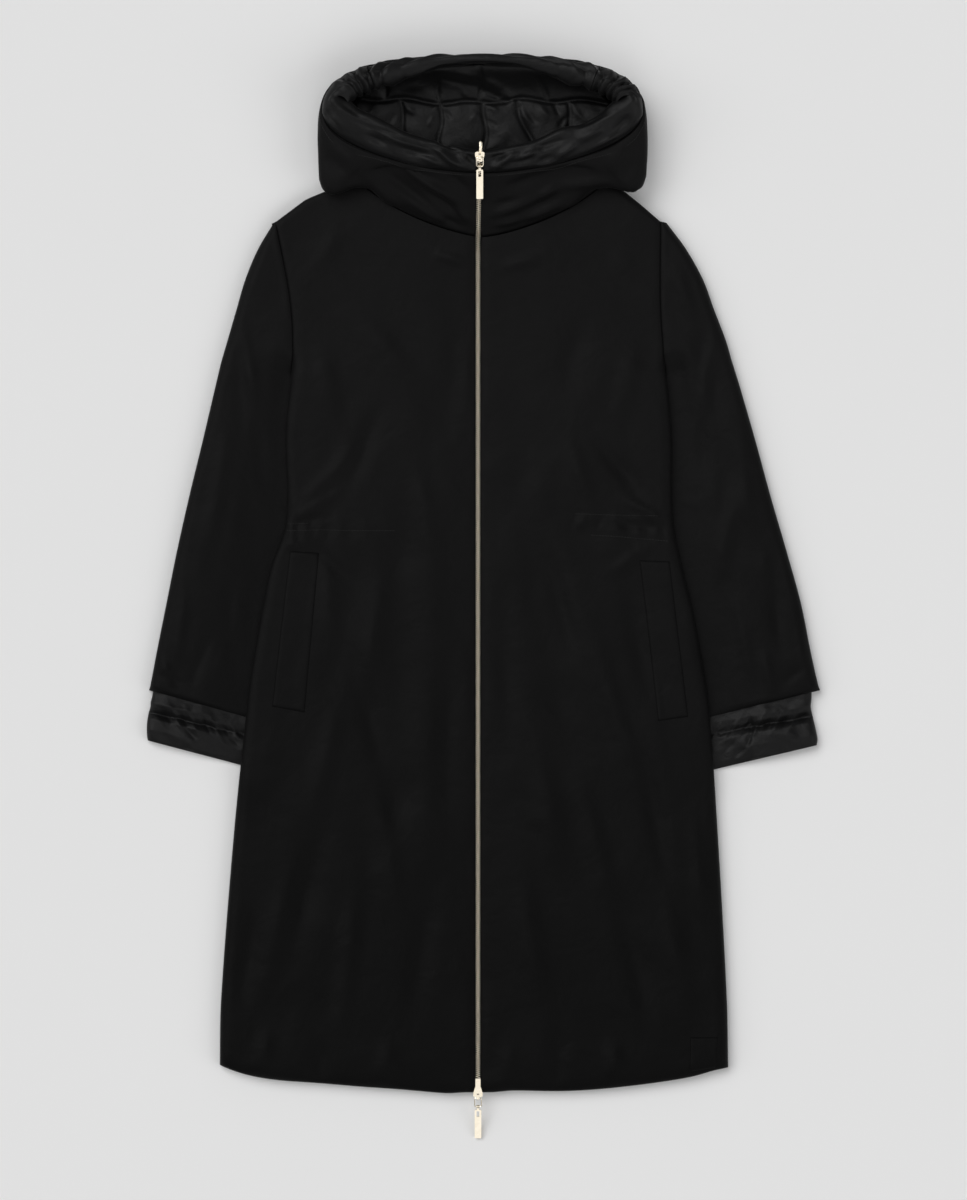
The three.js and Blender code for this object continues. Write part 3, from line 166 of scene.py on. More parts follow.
CUFF_PUCKERS = [
    (0.07, 9, 0.9), (0.16, 6, -1.2), (0.24, 10, 1.1), (0.3, 5, -1.4), (0.38, 11, 0.9), (0.49, 8, -0.9),
    (0.58, 11, 1), (0.66, 5, -1), (0.74, 8, 1.2), (0.8, 4, -1.5), (0.88, 8, 1.1), (0.95, 5, -1)]
CUFF_SEAM_FALL = {-1: 6, 1: 10}
CUFF_CREASES = {
    -1: [(-372, -160, -330, -176, 5, 1.8), (-352, -150, -338, -166, 3, -1.8),
         (-318, -158, -300, -178, 4, 1.8), (-300, -162, -286, -172, 3, -2.2),
         (-384, -124, -340, -134, 3, 1.4), (-330, -140, -290, -150, 3, 1.4)],
    1: [(314, -138, 316, -158, 2.6, -3.6), (316, -158, 310, -174, 2.6, -3.6),
        (310, -174, 294, -187, 2.6, -3),
        (300, -160, 276, -172, 3, 1.8), (296, -168, 280, -184, 3, -1.8), (286, -160, 274, -164, 2.5, 1.8),
        (306, -178, 284, -192, 3, 1.6), (330, -160, 372, -156, 6, 1.6), (348, -130, 352, -142, 3, -1.8),
        (326, -140, 330, -152, 3, 1.6)]}
# Quilting seams of the hood's back: a line, its half width and its depth.
QUILT_SEAMS = [
    (-150, 590, -98, 589, 2.6, -3), (-98, 589, -33, 585, 2.6, -3.6), (-33, 585, 45, 589, 2.6, -3.6),
    (45, 589, 150, 586, 2.6, -3.4), (-100, 588, -88, 524, 2.6, -3.4), (-51, 586, -52, 524, 2.6, -3.4),
    (1, 587, 1, 524, 2.6, -3.6), (37, 589, 62, 524, 2.6, -3.2), (98, 588, 108, 524, 2.6, -3),
    (-140, 524, 140, 524, 2.6, -3.4), (-4, 628, -4, 587, 2.6, -3), (-54, 610, -50, 587, 2.6, -3),
    (-112, 612, -118, 589, 2.6, -2.8), (70, 612, 74, 588, 2.6, -2.8), (-78, 524, -78, 492, 2.6, -3),
    (-26, 524, -26, 490, 2.6, -3), (26, 524, 26, 490, 2.6, -3), (76, 524, 76, 492, 2.6, -3)]
QUILT_CREASES = [
    (-62, 625, -36, 621, 5, 2.4), (-36, 621, -4, 613, 5, 2.8), (-4, 613, 24, 601, 5, 2.8),
    (24, 601, 42, 580, 5, 2.6), (42, 580, 56, 560, 4, 1.8), (-58, 617, -6, 603, 4, -2),
    (-6, 603, 30, 585, 4, -2), (-98, 600, -70, 606, 5, 1.6), (-48, 594, -58, 574, 3, 1.6),
    (-46, 578, -38, 566, 3, -1.4), (-58, 570, -66, 556, 3, 1.3), (-92, 580, -80, 572, 3, 1.4),
    (-104, 574, -112, 560, 4, -1.4), (6, 582, 18, 574, 3, 1.3), (4, 566, 16, 556, 3, -1.3),
    (-6, 574, -16, 562, 3, 1.2), (66, 582, 78, 566, 4, 1.5), (82, 586, 90, 570, 3, -1.6),
    (104, 580, 120, 562, 4, 1.6), (100, 572, 88, 556, 3, -1.4), (-128, 584, -136, 566, 4, 1.5),
    (52, 572, 64, 560, 3, -1.3), (-26, 600, -20, 592, 3, 1.4), (14, 596, 18, 590, 3, -1.2)]
# Gathers of the lining over the rear rim: place along the way, half width, rise and slant.
RIM_GATHERS = {
    -1: [(0.655, 0.01, 1.6, 0.01), (0.68, 0.006, -3, 0.014), (0.698, 0.008, 2.4, 0.014),
         (0.716, 0.006, -3.4, 0.018), (0.736, 0.009, 2.8, 0.018), (0.757, 0.006, -3, 0.022),
         (0.778, 0.009, 2.4, 0.026), (0.8, 0.007, -2.6, 0.03), (0.826, 0.012, 1.8, 0.04),
         (0.86, 0.009, -1.8, 0.05), (0.895, 0.014, 1.3, 0.05), (0.935, 0.011, -1.1, 0.04)],
    1: [(0.585, 0.01, 1.6, 0.01), (0.612, 0.007, -2.4, 0.012), (0.634, 0.009, 2.2, 0.014),
         (0.656, 0.006, -3, 0.012), (0.676, 0.008, 2.6, 0.016), (0.696, 0.006, -3, 0.018),
         (0.718, 0.009, 2.4, 0.022), (0.742, 0.007, -2.8, 0.028), (0.768, 0.011, 2.8, 0.036),
         (0.8, 0.008, -2.6, 0.046), (0.834, 0.012, 2, 0.056), (0.872, 0.009, -1.8, 0.062),
         (0.912, 0.013, 1.4, 0.06), (0.952, 0.01, -1.1, 0.05)],
}
# Creases of the lining's band round the front of the hood, and of the matte cloth below it.
BAND_CREASES = [
    (-176, 600, -148, 578, 6, 1.6), (-150, 574, -100, 548, 6, 1.8), (-172, 586, -128, 552, 5, -1.8),
    (-128, 552, -84, 532, 4, 1.6), (-104, 544, -62, 528, 5, 2), (-96, 530, -60, 520, 4, -1.8),
    (-62, 538, -34, 512, 4, 2.2), (-52, 540, -24, 520, 3, -2), (-44, 518, -18, 506, 4, 1.6),
    (-30, 530, -16, 508, 3, 1.6), (-140, 546, -112, 534, 4, -1.4), (-184, 576, -166, 556, 5, 1.4),
    (-24, 524, -12, 514, 3, -1.5), (-78, 524, -50, 510, 4, 1.5),
    (172, 598, 140, 574, 6, 1.6), (150, 572, 104, 552, 5, -1.8), (112, 560, 66, 534, 6, 2.2),
    (98, 544, 60, 528, 4, -2.2), (140, 556, 108, 538, 5, 1.8), (66, 532, 38, 514, 4, 1.8),
    (60, 520, 34, 512, 3, -1.6), (176, 572, 152, 548, 5, -1.6), (40, 528, 16, 510, 4, 2),
    (28, 524, 8, 516, 3, -1.8), (110, 536, 84, 518, 4, 1.6), (158, 546, 128, 528, 4, 1.6),
    (84, 522, 62, 512, 4, -1.5), (20, 512, 8, 506, 3, 1.4), (182, 590, 176, 560, 5, 1.2)]
HOOD_CREASES = [
    (-101, 514, -47, 475, 5, 1.5), (-118, 504, -62, 462, 6, -1.5), (-71, 496, -28, 466, 5, 1.4),
    (-65, 480, -26, 452, 4, -1.3), (-88, 470, -40, 440, 5, 1.3), (-40, 500, -16, 478, 5, -1),
    (-34, 462, -14, 444, 4, 1), (-130, 486, -96, 458, 6, 1.3), (-50, 450, -20, 434, 4, -1),
    (148, 492, 87, 486, 5, 1.4), (87, 486, 63, 472, 5, 1.5), (63, 472, 8, 451, 5, 1.3),
    (96, 478, 50, 456, 5, -1.5), (87, 463, 44, 448, 5, 1.3), (44, 448, 12, 440, 4, 1.1),
    (70, 500, 24, 482, 6, -1.1), (40, 470, 10, 462, 4, -1), (120, 474, 84, 452, 6, 1.2),
    (-176, 540, -150, 510, 8, 1), (168, 540, 150, 508, 8, 1.1), (-186, 524, -160, 496, 7, -1),
    (180, 520, 160, 494, 7, -1)]
PATCHES = {
    "pocket_welt_left": (-1, 2.4, (-228, 57), (-194, 55), (-249, -126), (-211, -133)),
    "pocket_welt_right": (1, 2.4, (184, 46), (219, 45), (206, -143), (241, -138)),
    "hem_tab": (1, 1.8, (244, -516), (276, -516), (243, -556), (273, -552)),
}


def smooth(value, low, high):
    t = np.clip((value - low) / (high - low), 0, 1)
    return t * t * (3 - 2 * t)


def ramp(value, low, high):
    return np.clip((value - low) / (high - low), 0, 1)


def lerp(a, b, t):
    return a + (b - a) * t


def edge_share(distance, round_, least):
    rest = 1 - np.clip(distance / round_, 0, 1)
    return least + (1 - least) * np.sqrt(np.maximum(1 - rest * rest, 0))


def table_value(places, values, at):
    """Smooth value of a table at places that rise."""
    xs, vs = np.asarray(places, float), np.asarray(values, float)
    at = np.clip(at, xs[0], xs[-1])
    last = len(xs) - 1
    low, high = np.maximum(np.arange(last + 1) - 1, 0), np.minimum(np.arange(last + 1) + 1, last)
    slope = (vs[high] - vs[low]) / (xs[high] - xs[low])
    k = np.clip(np.searchsorted(xs, at) - 1, 0, last - 1)
    span = xs[k + 1] - xs[k]
    t = (at - xs[k]) / span
    t2, t3 = t * t, t * t * t
    return (vs[k] * (2 * t3 - 3 * t2 + 1) + slope[k] * span * (t3 - 2 * t2 + t)
            + vs[k + 1] * (3 * t2 - 2 * t3) + slope[k + 1] * span * (t3 - t2))


def strokes(table, x, y, fade=False):
    """Height of soft ridges and troughs along lines; with fade each dies out towards its ends."""
    total = np.zeros(np.broadcast(x, y).shape)
    for x0, y0, x1, y1, width, height in table:
        dx, dy = x1 - x0, y1 - y0
        t = np.clip(((x - x0) * dx + (y - y0) * dy) / (dx * dx + dy * dy), 0, 1)
        away = np.hypot(x - x0 - t * dx, y - y0 - t * dy) / width
        height = height * (0.15 + 0.85 * np.sin(np.pi * t)) if fade else height
        total = total + height * np.exp(-away * away)
    return total


def deepest(table, x, y):
    """Depth of the deepest of several troughs along lines."""
    return np.minimum.reduce([strokes([row], x, y) for row in table])


def ripple(x, y, size):
    """A faint uneven swell of the cloth, from -1 to 1."""
    a = np.sin(x / size + 1.7 * np.sin(y / (2.3 * size) + 0.6))
    b = np.sin(y / (1.3 * size) + 1.4 * np.sin(x / (1.9 * size) + 2.1) + 0.8)
    c = np.sin((x + y) / (0.8 * size) + 2.0 * np.sin((x - y) / (2.7 * size)))
    return (a * b + 0.5 * c) / 1.5


def edge_x(side, y):
    return table_value(EDGE_Y, EDGE_X[side], y)


def zip_x(y):
    return lerp(ZIP_X, ZIP_TOP_X, ramp(y, 420, 530))


def hem_y(x):
    reach = np.minimum(np.abs(x - ZIP_X) / 304, 1)
    scallop = 1.6 * np.sin(x / 31 + 0.9 * np.sin(x / 57)) * (1 - reach ** 6)
    caught = 1.3 * np.exp(-((x + 195) / 45) ** 2) + 2.2 * np.exp(-((x - 272) / 18) ** 2)
    return HEM_Y + 24 * reach ** 2 + 8 * reach ** 12 + caught + scallop * smooth(np.abs(x - ZIP_X), 12, 40)


def ring_point(ring, side, way):
    half, centre, front, rear, front_power, rear_power, z_front, z_side, z_rear, low, high = HOOD_RINGS[ring]
    front_edge = zip_x(centre - front) + side * ZIP_SLOT
    angle = lerp(math.asin(side * (front_edge - HOOD_X) / half), math.pi, way)
    beyond = np.maximum(angle / (math.pi / 2) - 1, 0)
    lean = RIM_LEAN if ring == RIM else 1
    angle = np.where(beyond > 0, math.pi / 2 * (1 + beyond * (lean + (1 - lean) * beyond)), angle)
    s, c = np.sin(angle), np.cos(angle)
    power = np.where(c > 0, front_power, rear_power)
    q = (np.abs(s) ** power + np.abs(c) ** power) ** (-1 / power)
    across = side * half * s * q
    y = centre - np.where(c > 0, front, rear) * c * q
    if ring == FOLD_LEVEL:
        amount, middle, width = FOLD_BACK
        corner, begin, near = FOLD_CORNER
        shift = amount * np.exp(-((np.abs(across) - middle) / width) ** 2)
        shift = shift - corner[side] * smooth(np.abs(across) / half, begin, 1) * np.minimum(c / near, 1)
        y = y + np.where(c > 0, shift, 0)
    share = np.where(c > 0, smooth(c, low, high), -c)
    return np.stack([HOOD_X + across, y, lerp(z_side, np.where(c > 0, z_front, z_rear), share)], -1)


def hood_mid(side, way, level):
    """The hood wall's mid surface: way runs 0 to 1 from the zip to the rear middle, level up the wall."""
    way, level = np.broadcast_arrays(np.asarray(way, float), np.asarray(level, float))
    rings = np.stack([ring_point(k, side, way) for k in range(5)])
    rings = np.concatenate([2 * rings[:1] - rings[1:2], rings, 2 * rings[-1:] - rings[-2:-1]])
    k = np.clip(np.floor(level).astype(int), 0, 3)
    t = (level - k)[..., None]
    p = [np.take_along_axis(rings, (k + i)[None, ..., None], 0)[0] for i in range(4)]
    d = [np.maximum(np.linalg.norm(p[i + 1] - p[i], axis=-1), 1e-9)[..., None] ** 0.5 for i in range(3)]
    m1 = ((p[1] - p[0]) / d[0] - (p[2] - p[0]) / (d[0] + d[1]) + (p[2] - p[1]) / d[1]) * d[1]
    m2 = ((p[2] - p[1]) / d[1] - (p[3] - p[1]) / (d[1] + d[2]) + (p[3] - p[2]) / d[2]) * d[1]
    return (p[1] + m1 * t + (3 * (p[2] - p[1]) - 2 * m1 - m2) * t ** 2
            + (2 * (p[1] - p[2]) + m1 + m2) * t ** 3)


def unit(v):
    return v / np.maximum(np.linalg.norm(v, axis=-1, keepdims=True), 1e-12)


def hood_point(side, way, level, offset, rise=0):
    given = [np.asarray(v, float) for v in (way, level, offset, rise)]
    way, level, offset, rise = np.broadcast_arrays(*given)
    step = 0.01
    along = (hood_mid(side, np.minimum(way + step, 1), level)
             - hood_mid(side, np.maximum(way - step, 0), level))
    up = unit(hood_mid(side, way, np.minimum(level + step, RIM))
              - hood_mid(side, way, np.maximum(level - step, 0)))
    out = unit(np.cross(along, up) * side)
    point = hood_mid(side, way, level) + out * offset[..., None] + up * rise[..., None]
    point[..., 0] = np.where(way == 0, zip_x(point[..., 1]) + side * ZIP_SLOT, point[..., 0])
    point[..., 2] = np.maximum(point[..., 2], 0)
    return point


def lining_reach(way, level):
    corner = smooth(way, 0.08, 0.5) * (1 - 0.9 * smooth(way, 0.82, 0.95))
    slim = 3.2 * smooth(way, 0.84, 0.95) * smooth(level, 0.8, 2.5)
    return HOOD_WALL - slim + HOOD_ROLL * corner * smooth(level, 1, RIM)


# Materials.
def material(name, colour, roughness, specular, sheen=0.0, metallic=0.0):
    made = bpy.data.materials.new(name)
    made.use_nodes = True
    made.diffuse_color = (*colour, 1)
    shader = made.node_tree.nodes["Principled BSDF"]
    shader.inputs["Base Color"].default_value = (*colour, 1)
    shader.inputs["Roughness"].default_value = roughness
    shader.inputs["Specular IOR Level"].default_value = specular
    shader.inputs["Sheen Weight"].default_value = sheen
    shader.inputs["Sheen Roughness"].default_value = 0.5
    shader.inputs["Metallic"].default_value = metallic
    return made, made.node_tree, shader


def node(tree, kind, links=(), **values):
    made = tree.nodes.new(kind)
    for key, value in values.items():
        if key in made.inputs:
            made.inputs[key].default_value = value
        else:
            setattr(made, key, value)
    for socket, source in links:
        tree.links.new(source, made.inputs[socket])
    return made


def varied_colour(tree, shader, coordinates, dark, light, scale, painted_hem_shade=False):
    noise = node(tree, "ShaderNodeTexNoise", [("Vector", coordinates)], Scale=scale, Detail=4.0)
    factor = noise.outputs["Fac"]
    # Painted shade: with this flag the colour darkens towards the hem (low Y) and lightens up the coat,
    # standing in for light falling off down the coat, mixed with random tone.
    if painted_hem_shade:
        place = node(tree, "ShaderNodeSeparateXYZ", [("Vector", coordinates)])
        rise = node(tree, "ShaderNodeMapRange", [("Value", place.outputs["Y"])])
        rise.inputs["From Min"].default_value, rise.inputs["From Max"].default_value = -0.45, 0.35
        patchy = node(tree, "ShaderNodeMath", [(0, factor)], operation="MULTIPLY_ADD")
        patchy.inputs[1].default_value, patchy.inputs[2].default_value = 0.5, -0.1
        factor = node(tree, "ShaderNodeMath", [(0, rise.outputs["Result"]), (1, patchy.outputs[0])],
                      operation="ADD", use_clamp=True).outputs[0]
    mix = node(tree, "ShaderNodeMix", [("Factor", factor)], data_type="RGBA")
    mix.inputs[6].default_value = (*dark, 1)
    mix.inputs[7].default_value = (*light, 1)
    tree.links.new(mix.outputs[2], shader.inputs["Base Color"])


def weave_height(tree, thread, angle):
    """Threads of a plain weave, in the cloth's own flat coordinates."""
    flat = node(tree, "ShaderNodeUVMap", uv_map="cloth")
    turned = node(tree, "ShaderNodeMapping", [("Vector", flat.outputs["UV"])])
    turned.inputs["Rotation"].default_value = (0, 0, angle)
    waves = [node(tree, "ShaderNodeTexWave", [("Vector", turned.outputs["Vector"])], bands_direction=axis,
                  Scale=math.pi / (10 * thread), Distortion=0.4) for axis in "XY"]
    return node(tree, "ShaderNodeMath", [(0, waves[0].outputs["Fac"]), (1, waves[1].outputs["Fac"])],
                operation="MULTIPLY")


def bump(tree, height, strength, distance, before=None):
    links = [("Height", height)] + ([("Normal", before.outputs["Normal"])] if before else [])
    return node(tree, "ShaderNodeBump", links, Strength=strength, Distance=distance)


def cloth(name, dark, light, roughness, specular, sheen, thread, crinkles, painted_hem_shade=False):
    made, tree, shader = material(name, light, roughness, specular, sheen)
    place = node(tree, "ShaderNodeTexCoord").outputs["Object"]
    varied_colour(tree, shader, place, dark, light, 14.0, painted_hem_shade)
    last = None
    for scale, strength, distance in crinkles:
        noise = node(tree, "ShaderNodeTexNoise", [("Vector", place)], Scale=scale, Detail=3.0, Distortion=0.6)
        last = bump(tree, noise.outputs["Fac"], strength, distance, last)
    last = bump(tree, weave_height(tree, thread, 0.02).outputs[0], 0.35, 0.00008, last)
    tree.links.new(last.outputs["Normal"], shader.inputs["Normal"])
    return made


# The shell's colour carries painted shade: darker towards the hem, lighter up the coat.
SHELL = cloth("shell_cloth", (0.0004, 0.0004, 0.0004), (0.0036, 0.0035, 0.0036), 0.56, 0.08, 0.015, 0.00045,
              [(22.0, 0.32, 0.006), (75.0, 0.24, 0.0018)], True)
LINING = cloth("lining_cloth", (0.0018, 0.0018, 0.0019), (0.0034, 0.0034, 0.0036), 0.45, 0.18, 0.02, 0.0003,
               [(45.0, 0.30, 0.004), (140.0, 0.22, 0.0010)])
THREAD = cloth("thread", (0.004, 0.004, 0.004), (0.008, 0.008, 0.008), 0.55, 0.2, 0.1, 0.0004,
               [(900.0, 0.2, 0.0001)])


def gold():
    made, tree, shader = material("pale_gold", (0.86, 0.77, 0.62), 0.24, 0.5, metallic=1.0)
    place = node(tree, "ShaderNodeTexCoord").outputs["Object"]
    varied_colour(tree, shader, place, (0.82, 0.73, 0.57), (0.92, 0.85, 0.72), 180.0)
    noise = node(tree, "ShaderNodeTexNoise", [("Vector", place)], Scale=1400.0, Detail=2.0)
    tree.links.new(bump(tree, noise.outputs["Fac"], 0.12, 0.0001).outputs["Normal"], shader.inputs["Normal"])
    return made


GOLD = gold()


# Meshes.
def add_mesh(name, points, faces, finish, flat=None, even=True):
    points = world(points)
    faces = np.asarray(faces)
    a, b, c = (points[faces[:, k]] for k in (0, 1, 2))
    volume = np.einsum("ij,ij->i", a, np.cross(b, c)).sum()
    if faces.shape[1] == 4:
        volume += np.einsum("ij,ij->i", a, np.cross(c, points[faces[:, 3]])).sum()
    if volume < 0:
        faces = faces[:, ::-1]
    mesh = bpy.data.meshes.new(name)
    mesh.from_pydata(points.tolist(), [], faces.tolist())
    mesh.polygons.foreach_set("use_smooth", np.full(len(faces), even))
    if flat is not None:
        layer = mesh.uv_layers.new(name="cloth")
        layer.data.foreach_set("uv", (flat[faces.ravel()] / 1000).astype("f").ravel())
    mesh.materials.append(finish)
    mesh.update()
    made = bpy.data.objects.new(name, mesh)
    bpy.context.scene.collection.objects.link(made)
    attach(made, "coat")
    return made


def flat_places(grid):
    """Distances along the rows and columns of a grid, its place in the flat cloth."""
    across = np.linalg.norm(np.diff(grid, axis=1), axis=-1).cumsum(axis=1)
    along = np.linalg.norm(np.diff(grid, axis=0), axis=-1).cumsum(axis=0)
    return np.stack([np.pad(across, ((0, 0), (1, 0))), np.pad(along, ((1, 0), (0, 0)))], -1).reshape(-1, 2)


def grid_quads(grid):
    """Numbers of a grid's points, and its faces of four."""
    index = np.arange(grid.shape[0] * grid.shape[1]).reshape(grid.shape[:2])
    corners = [index[:-1, :-1], index[:-1, 1:], index[1:, 1:], index[1:, :-1]]
    return index, np.stack(corners, -1).reshape(-1, 4)


def add_sheet(name, slot, finish, face, back):
    """A closed wall between two grids of points, standing for the solid of that name."""
    index, front = grid_quads(face)
    behind = front[:, [0, 3, 2, 1]] + index.size
    loop = np.r_[index[0, :-1], index[:-1, -1], index[-1, :0:-1], index[:0:-1, 0]]
    after = np.roll(loop, -1)
    rim = np.stack([after, loop, loop + index.size, after + index.size], -1)
    points = np.vstack([face.reshape(-1, 3), back.reshape(-1, 3)])
    made = add_mesh(f"{name}_cloth", points, np.vstack([front, behind, rim]), finish,
                    np.tile(flat_places(face), (2, 1)))
    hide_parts(name)
    return made


# Hood wall.
SHELL_TOP, BAND_FOOT = 2.95, 3.05
MATTE_CREASE, RIM_GATHER, BAND_CREASE, ROLL_CREASE = 3.4, 1.5, 2.8, 2.6
MATTE_REAR, BAND_REAR = (0.48, 0.56), (0.42, 0.5)
LINING_SEAMS, LINING_SEAM_DEPTH, LINING_SEAM_HALF = (0.9, 2.1), 1.8, 0.09
ROLL_FLATNESS, WALL_COLUMNS = 0.75, 26


def rim_gathers(side, way, level):
    """Rise of the gathers that cross the rear rim."""
    total = np.zeros(np.broadcast(way, level).shape)
    for at, width, rise, slant in RIM_GATHERS[side]:
        total = total + rise * np.exp(-((way - at - slant * (RIM - level)) / width) ** 2)
    return total


def lining_gathers(side, way, level):
    return RIM_GATHER * rim_gathers(side, way, level) * smooth(level, 1.4, 3.2) * smooth(way, 0.5, 0.54)


def band_creases(place, way):
    return strokes(BAND_CREASES, place[..., 0], place[..., 1], True) * (1 - smooth(way, *BAND_REAR))


def shell_rows(side, ways):
    levels = np.concatenate([np.linspace(0, 2.9, 34), [2.925, SHELL_TOP]])
    way, level = np.meshgrid(ways, levels, indexing="ij")
    face = hood_point(side, way, level, HOOD_WALL)
    back = hood_point(side, way, level, SEAM / 2)
    edge = 1 - 0.35 * np.exp(-((SHELL_TOP - level) / 0.07) ** 2) - 0.25 * np.exp(-(level / 0.06) ** 2)
    clear = (1 - smooth(way, *MATTE_REAR)) * smooth(level, 0.15, 0.6) * (1 - smooth(level, 2.7, SHELL_TOP))
    relief = MATTE_CREASE * strokes(HOOD_CREASES, face[..., 0], face[..., 1], True) * clear
    relief = relief + 0.5 * ripple(face[..., 0], face[..., 1], 17)
    gathers = 0.25 * rim_gathers(side, way, level) * smooth(level, 0.8, 2.6)
    thick = HOOD_WALL * edge + relief * smooth(level, 0, 0.3) + gathers
    return hood_point(side, way, level, np.maximum(thick, 1.5)), back


def lining_inside(side, ways):
    """The lining's face inside the hood, from its foot to the rim."""
    levels = np.concatenate([np.linspace(0, SHELL_TOP, 26), np.linspace(3.06, RIM, 16)])
    way, level = np.meshgrid(ways, levels, indexing="ij")
    reach = lining_reach(way, level)
    flat = hood_point(side, way, level, -reach)
    relief = 0.35 * ripple(flat[..., 0] + 3 * level, flat[..., 1], 9) * smooth(way, 0.02, 0.06)
    seams = sum(np.exp(-((level - at) / LINING_SEAM_HALF) ** 2) for at in LINING_SEAMS)
    relief = relief - LINING_SEAM_DEPTH * seams * smooth(way, 0.05, 0.12)
    relief = relief + lining_gathers(side, way, level)
    return hood_point(side, way, level, -np.maximum(reach + relief, 2.5))


def lining_roll(side, ways):
    """The lining's turn over the rim."""
    way, turn = np.meshgrid(ways, np.radians(np.linspace(8, 172, 22)), indexing="ij")
    reach = lining_reach(way, RIM)
    radius, middle = (HOOD_WALL + reach) / 2, (HOOD_WALL - reach) / 2
    across, over = radius * np.cos(turn), ROLL_FLATNESS * radius * np.sin(turn)
    gathers = lining_gathers(side, way, RIM)
    swell = 1 + (gathers + 0.9 * ripple(260 * way, 14 * turn, 6)) / (radius + 4)
    low = hood_point(side, way, RIM, middle - across * swell, over * swell)
    relief = ROLL_CREASE * band_creases(low, way) + 0.7 * ripple(low[..., 0], low[..., 1], 11)
    swell = swell + relief * np.sin(turn) / radius
    return hood_point(side, way, RIM, middle - across * swell, over * swell)


def lining_band(side, ways):
    """The lining's band outside the rim, down to its seam with the matte cloth."""
    levels = np.concatenate([np.linspace(3.92, 3.12, 14), [3.08, BAND_FOOT]])
    way, level = np.meshgrid(ways, levels, indexing="ij")
    place = hood_point(side, way, level, HOOD_WALL)
    gathers = lining_gathers(side, way, level) * smooth(level, BAND_FOOT, 3.4)
    puff = 1.6 * np.sin(np.pi * ramp(level, BAND_FOOT, RIM)) * smooth(way, 0.01, 0.05)
    creases = (BAND_CREASE * band_creases(place, way) + puff) * smooth(level, BAND_FOOT, 3.25)
    edge = 1 - 0.4 * np.exp(-((level - BAND_FOOT) / 0.06) ** 2)
    height = HOOD_WALL * edge + creases + gathers + 0.6 * ripple(place[..., 0], place[..., 1], 8)
    return hood_point(side, way, level, np.maximum(height, 1.2))


def lining_back(side, ways, columns):
    """The lining's hidden side: up the wall, then out under the band's foot."""
    way, level = np.meshgrid(ways, np.linspace(0, SHELL_TOP, WALL_COLUMNS), indexing="ij")
    wall = hood_point(side, way, level, -SEAM / 2)
    offsets = np.linspace(-SEAM / 2, HOOD_WALL - 2.8, columns - WALL_COLUMNS)
    way, offset = np.meshgrid(ways, offsets, indexing="ij")
    return np.concatenate([wall, hood_point(side, way, STITCHED, offset)], 1)


def lining_rows(side, ways):
    face = np.concatenate([lining_inside(side, ways), lining_roll(side, ways), lining_band(side, ways)], 1)
    return face, lining_back(side, ways, face.shape[1])


def centre_rows(make):
    start = HOOD_SIDE_SHARE + HOOD_SPLIT
    ways = np.linspace(start, 1, 56)
    left, right = make(-1, ways), make(1, ways)
    return [np.concatenate([a, b[-2::-1]]) for a, b in zip(left, right)]


def build_hood():
    side_ways = np.concatenate([[0, 0.004, 0.009], np.linspace(0.016, HOOD_SIDE_SHARE, 118)])
    pieces = {}
    for side, word in SIDES:
        for name, slot, finish, make in (("side", "shell", SHELL, shell_rows),
                                         ("lining", "lining", LINING, lining_rows)):
            whole = f"hood_{name}_{word}"
            pieces[whole] = add_sheet(whole, slot, finish, *make(side, side_ways))
    pieces["hood_centre"] = add_sheet("hood_centre", "shell", SHELL, *centre_rows(shell_rows))
    pieces["hood_lining_centre"] = add_sheet(
        "hood_lining_centre", "lining", LINING, *centre_rows(lining_rows))
    return pieces


def hood_back_edge(share):
    _, centre, _, rear, _, power = HOOD_RINGS[0][:6]
    bend = np.maximum(1 - np.abs(share) ** power, 0) ** (1 / power)
    return centre + (rear - 2) * np.maximum(bend, 0.02)


QUILT_LOFT, QUILT_WIDE, QUILT_CREASE, QUILT_ROUND = 6.0, 13, 1.2, 14
REAR_RISE, REAR_RISE_Y = 30, (588, 634)


def quilt_puff(x, y):
    """Height of the quilting: sharp seams in wide troughs, with creases between."""
    wavy = x + 2.2 * np.sin(y / 9 + x / 31), y + 2.0 * np.sin(x / 11 + y / 23)
    wide = [(*seam[:4], QUILT_WIDE, 0.6 * seam[5]) for seam in QUILT_SEAMS]
    puff = QUILT_LOFT + deepest(QUILT_SEAMS, *wavy) + deepest(wide, *wavy)
    return puff + QUILT_CREASE * strokes(QUILT_CREASES, x, y, True) + 0.6 * ripple(x, y, 7)


def build_hood_back():
    v, u = np.meshgrid(np.linspace(0, 1, 90), np.linspace(-1, 1, 170), indexing="ij")
    share = 0.995 * u
    y = lerp(BACK_NECK_Y + SEAM, hood_back_edge(share), v)
    x = HOOD_X + BACK_HALF * (1 - BACK_TAPER * (1 - ramp(y, BACK_NECK_Y, BACK_WIDE_Y)) ** 1.5) * share
    foot = BACK_SHELL + LAYER_GAP
    rim = np.minimum((1 - np.abs(u)) * 140, np.minimum(v, 1 - v) * 140)
    curve = REAR_RISE * smooth(y, *REAR_RISE_Y) ** 1.5
    quilted = np.maximum(quilt_puff(x, y), 0.2) * edge_share(rim, QUILT_ROUND, 0)
    top = foot + BACK_LINING * edge_share(rim, 10, 0.35) - 1.2 + quilted + curve
    floor, shell_top, lining_foot, lining_top = (
        np.stack([x, y, z + 0 * x], -1) for z in (0, BACK_SHELL, foot, top))
    shell = add_sheet("hood_back", "shell", SHELL, shell_top[::5, ::5], floor[::5, ::5])
    lining = add_sheet("hood_back_lining", "lining", LINING, lining_top, lining_foot)
    return {"hood_back": shell, "hood_back_lining": lining}


# Body.
def neck_line():
    ways = np.linspace(0, 0.4, 60)
    feet = [hood_point(side, ways, 0, HOOD_WALL)[:, :2] for side in (-1, 1)]
    line = np.concatenate([feet[0][::-1], feet[1]])
    return line[np.argsort(line[:, 0])]


NECK = neck_line()


def neck_y(x):
    inside = (x > NECK[0, 0]) & (x < NECK[-1, 0])
    return np.where(inside, np.interp(x, NECK[:, 0], NECK[:, 1]) - 1.2 * SEAM, 1e6)


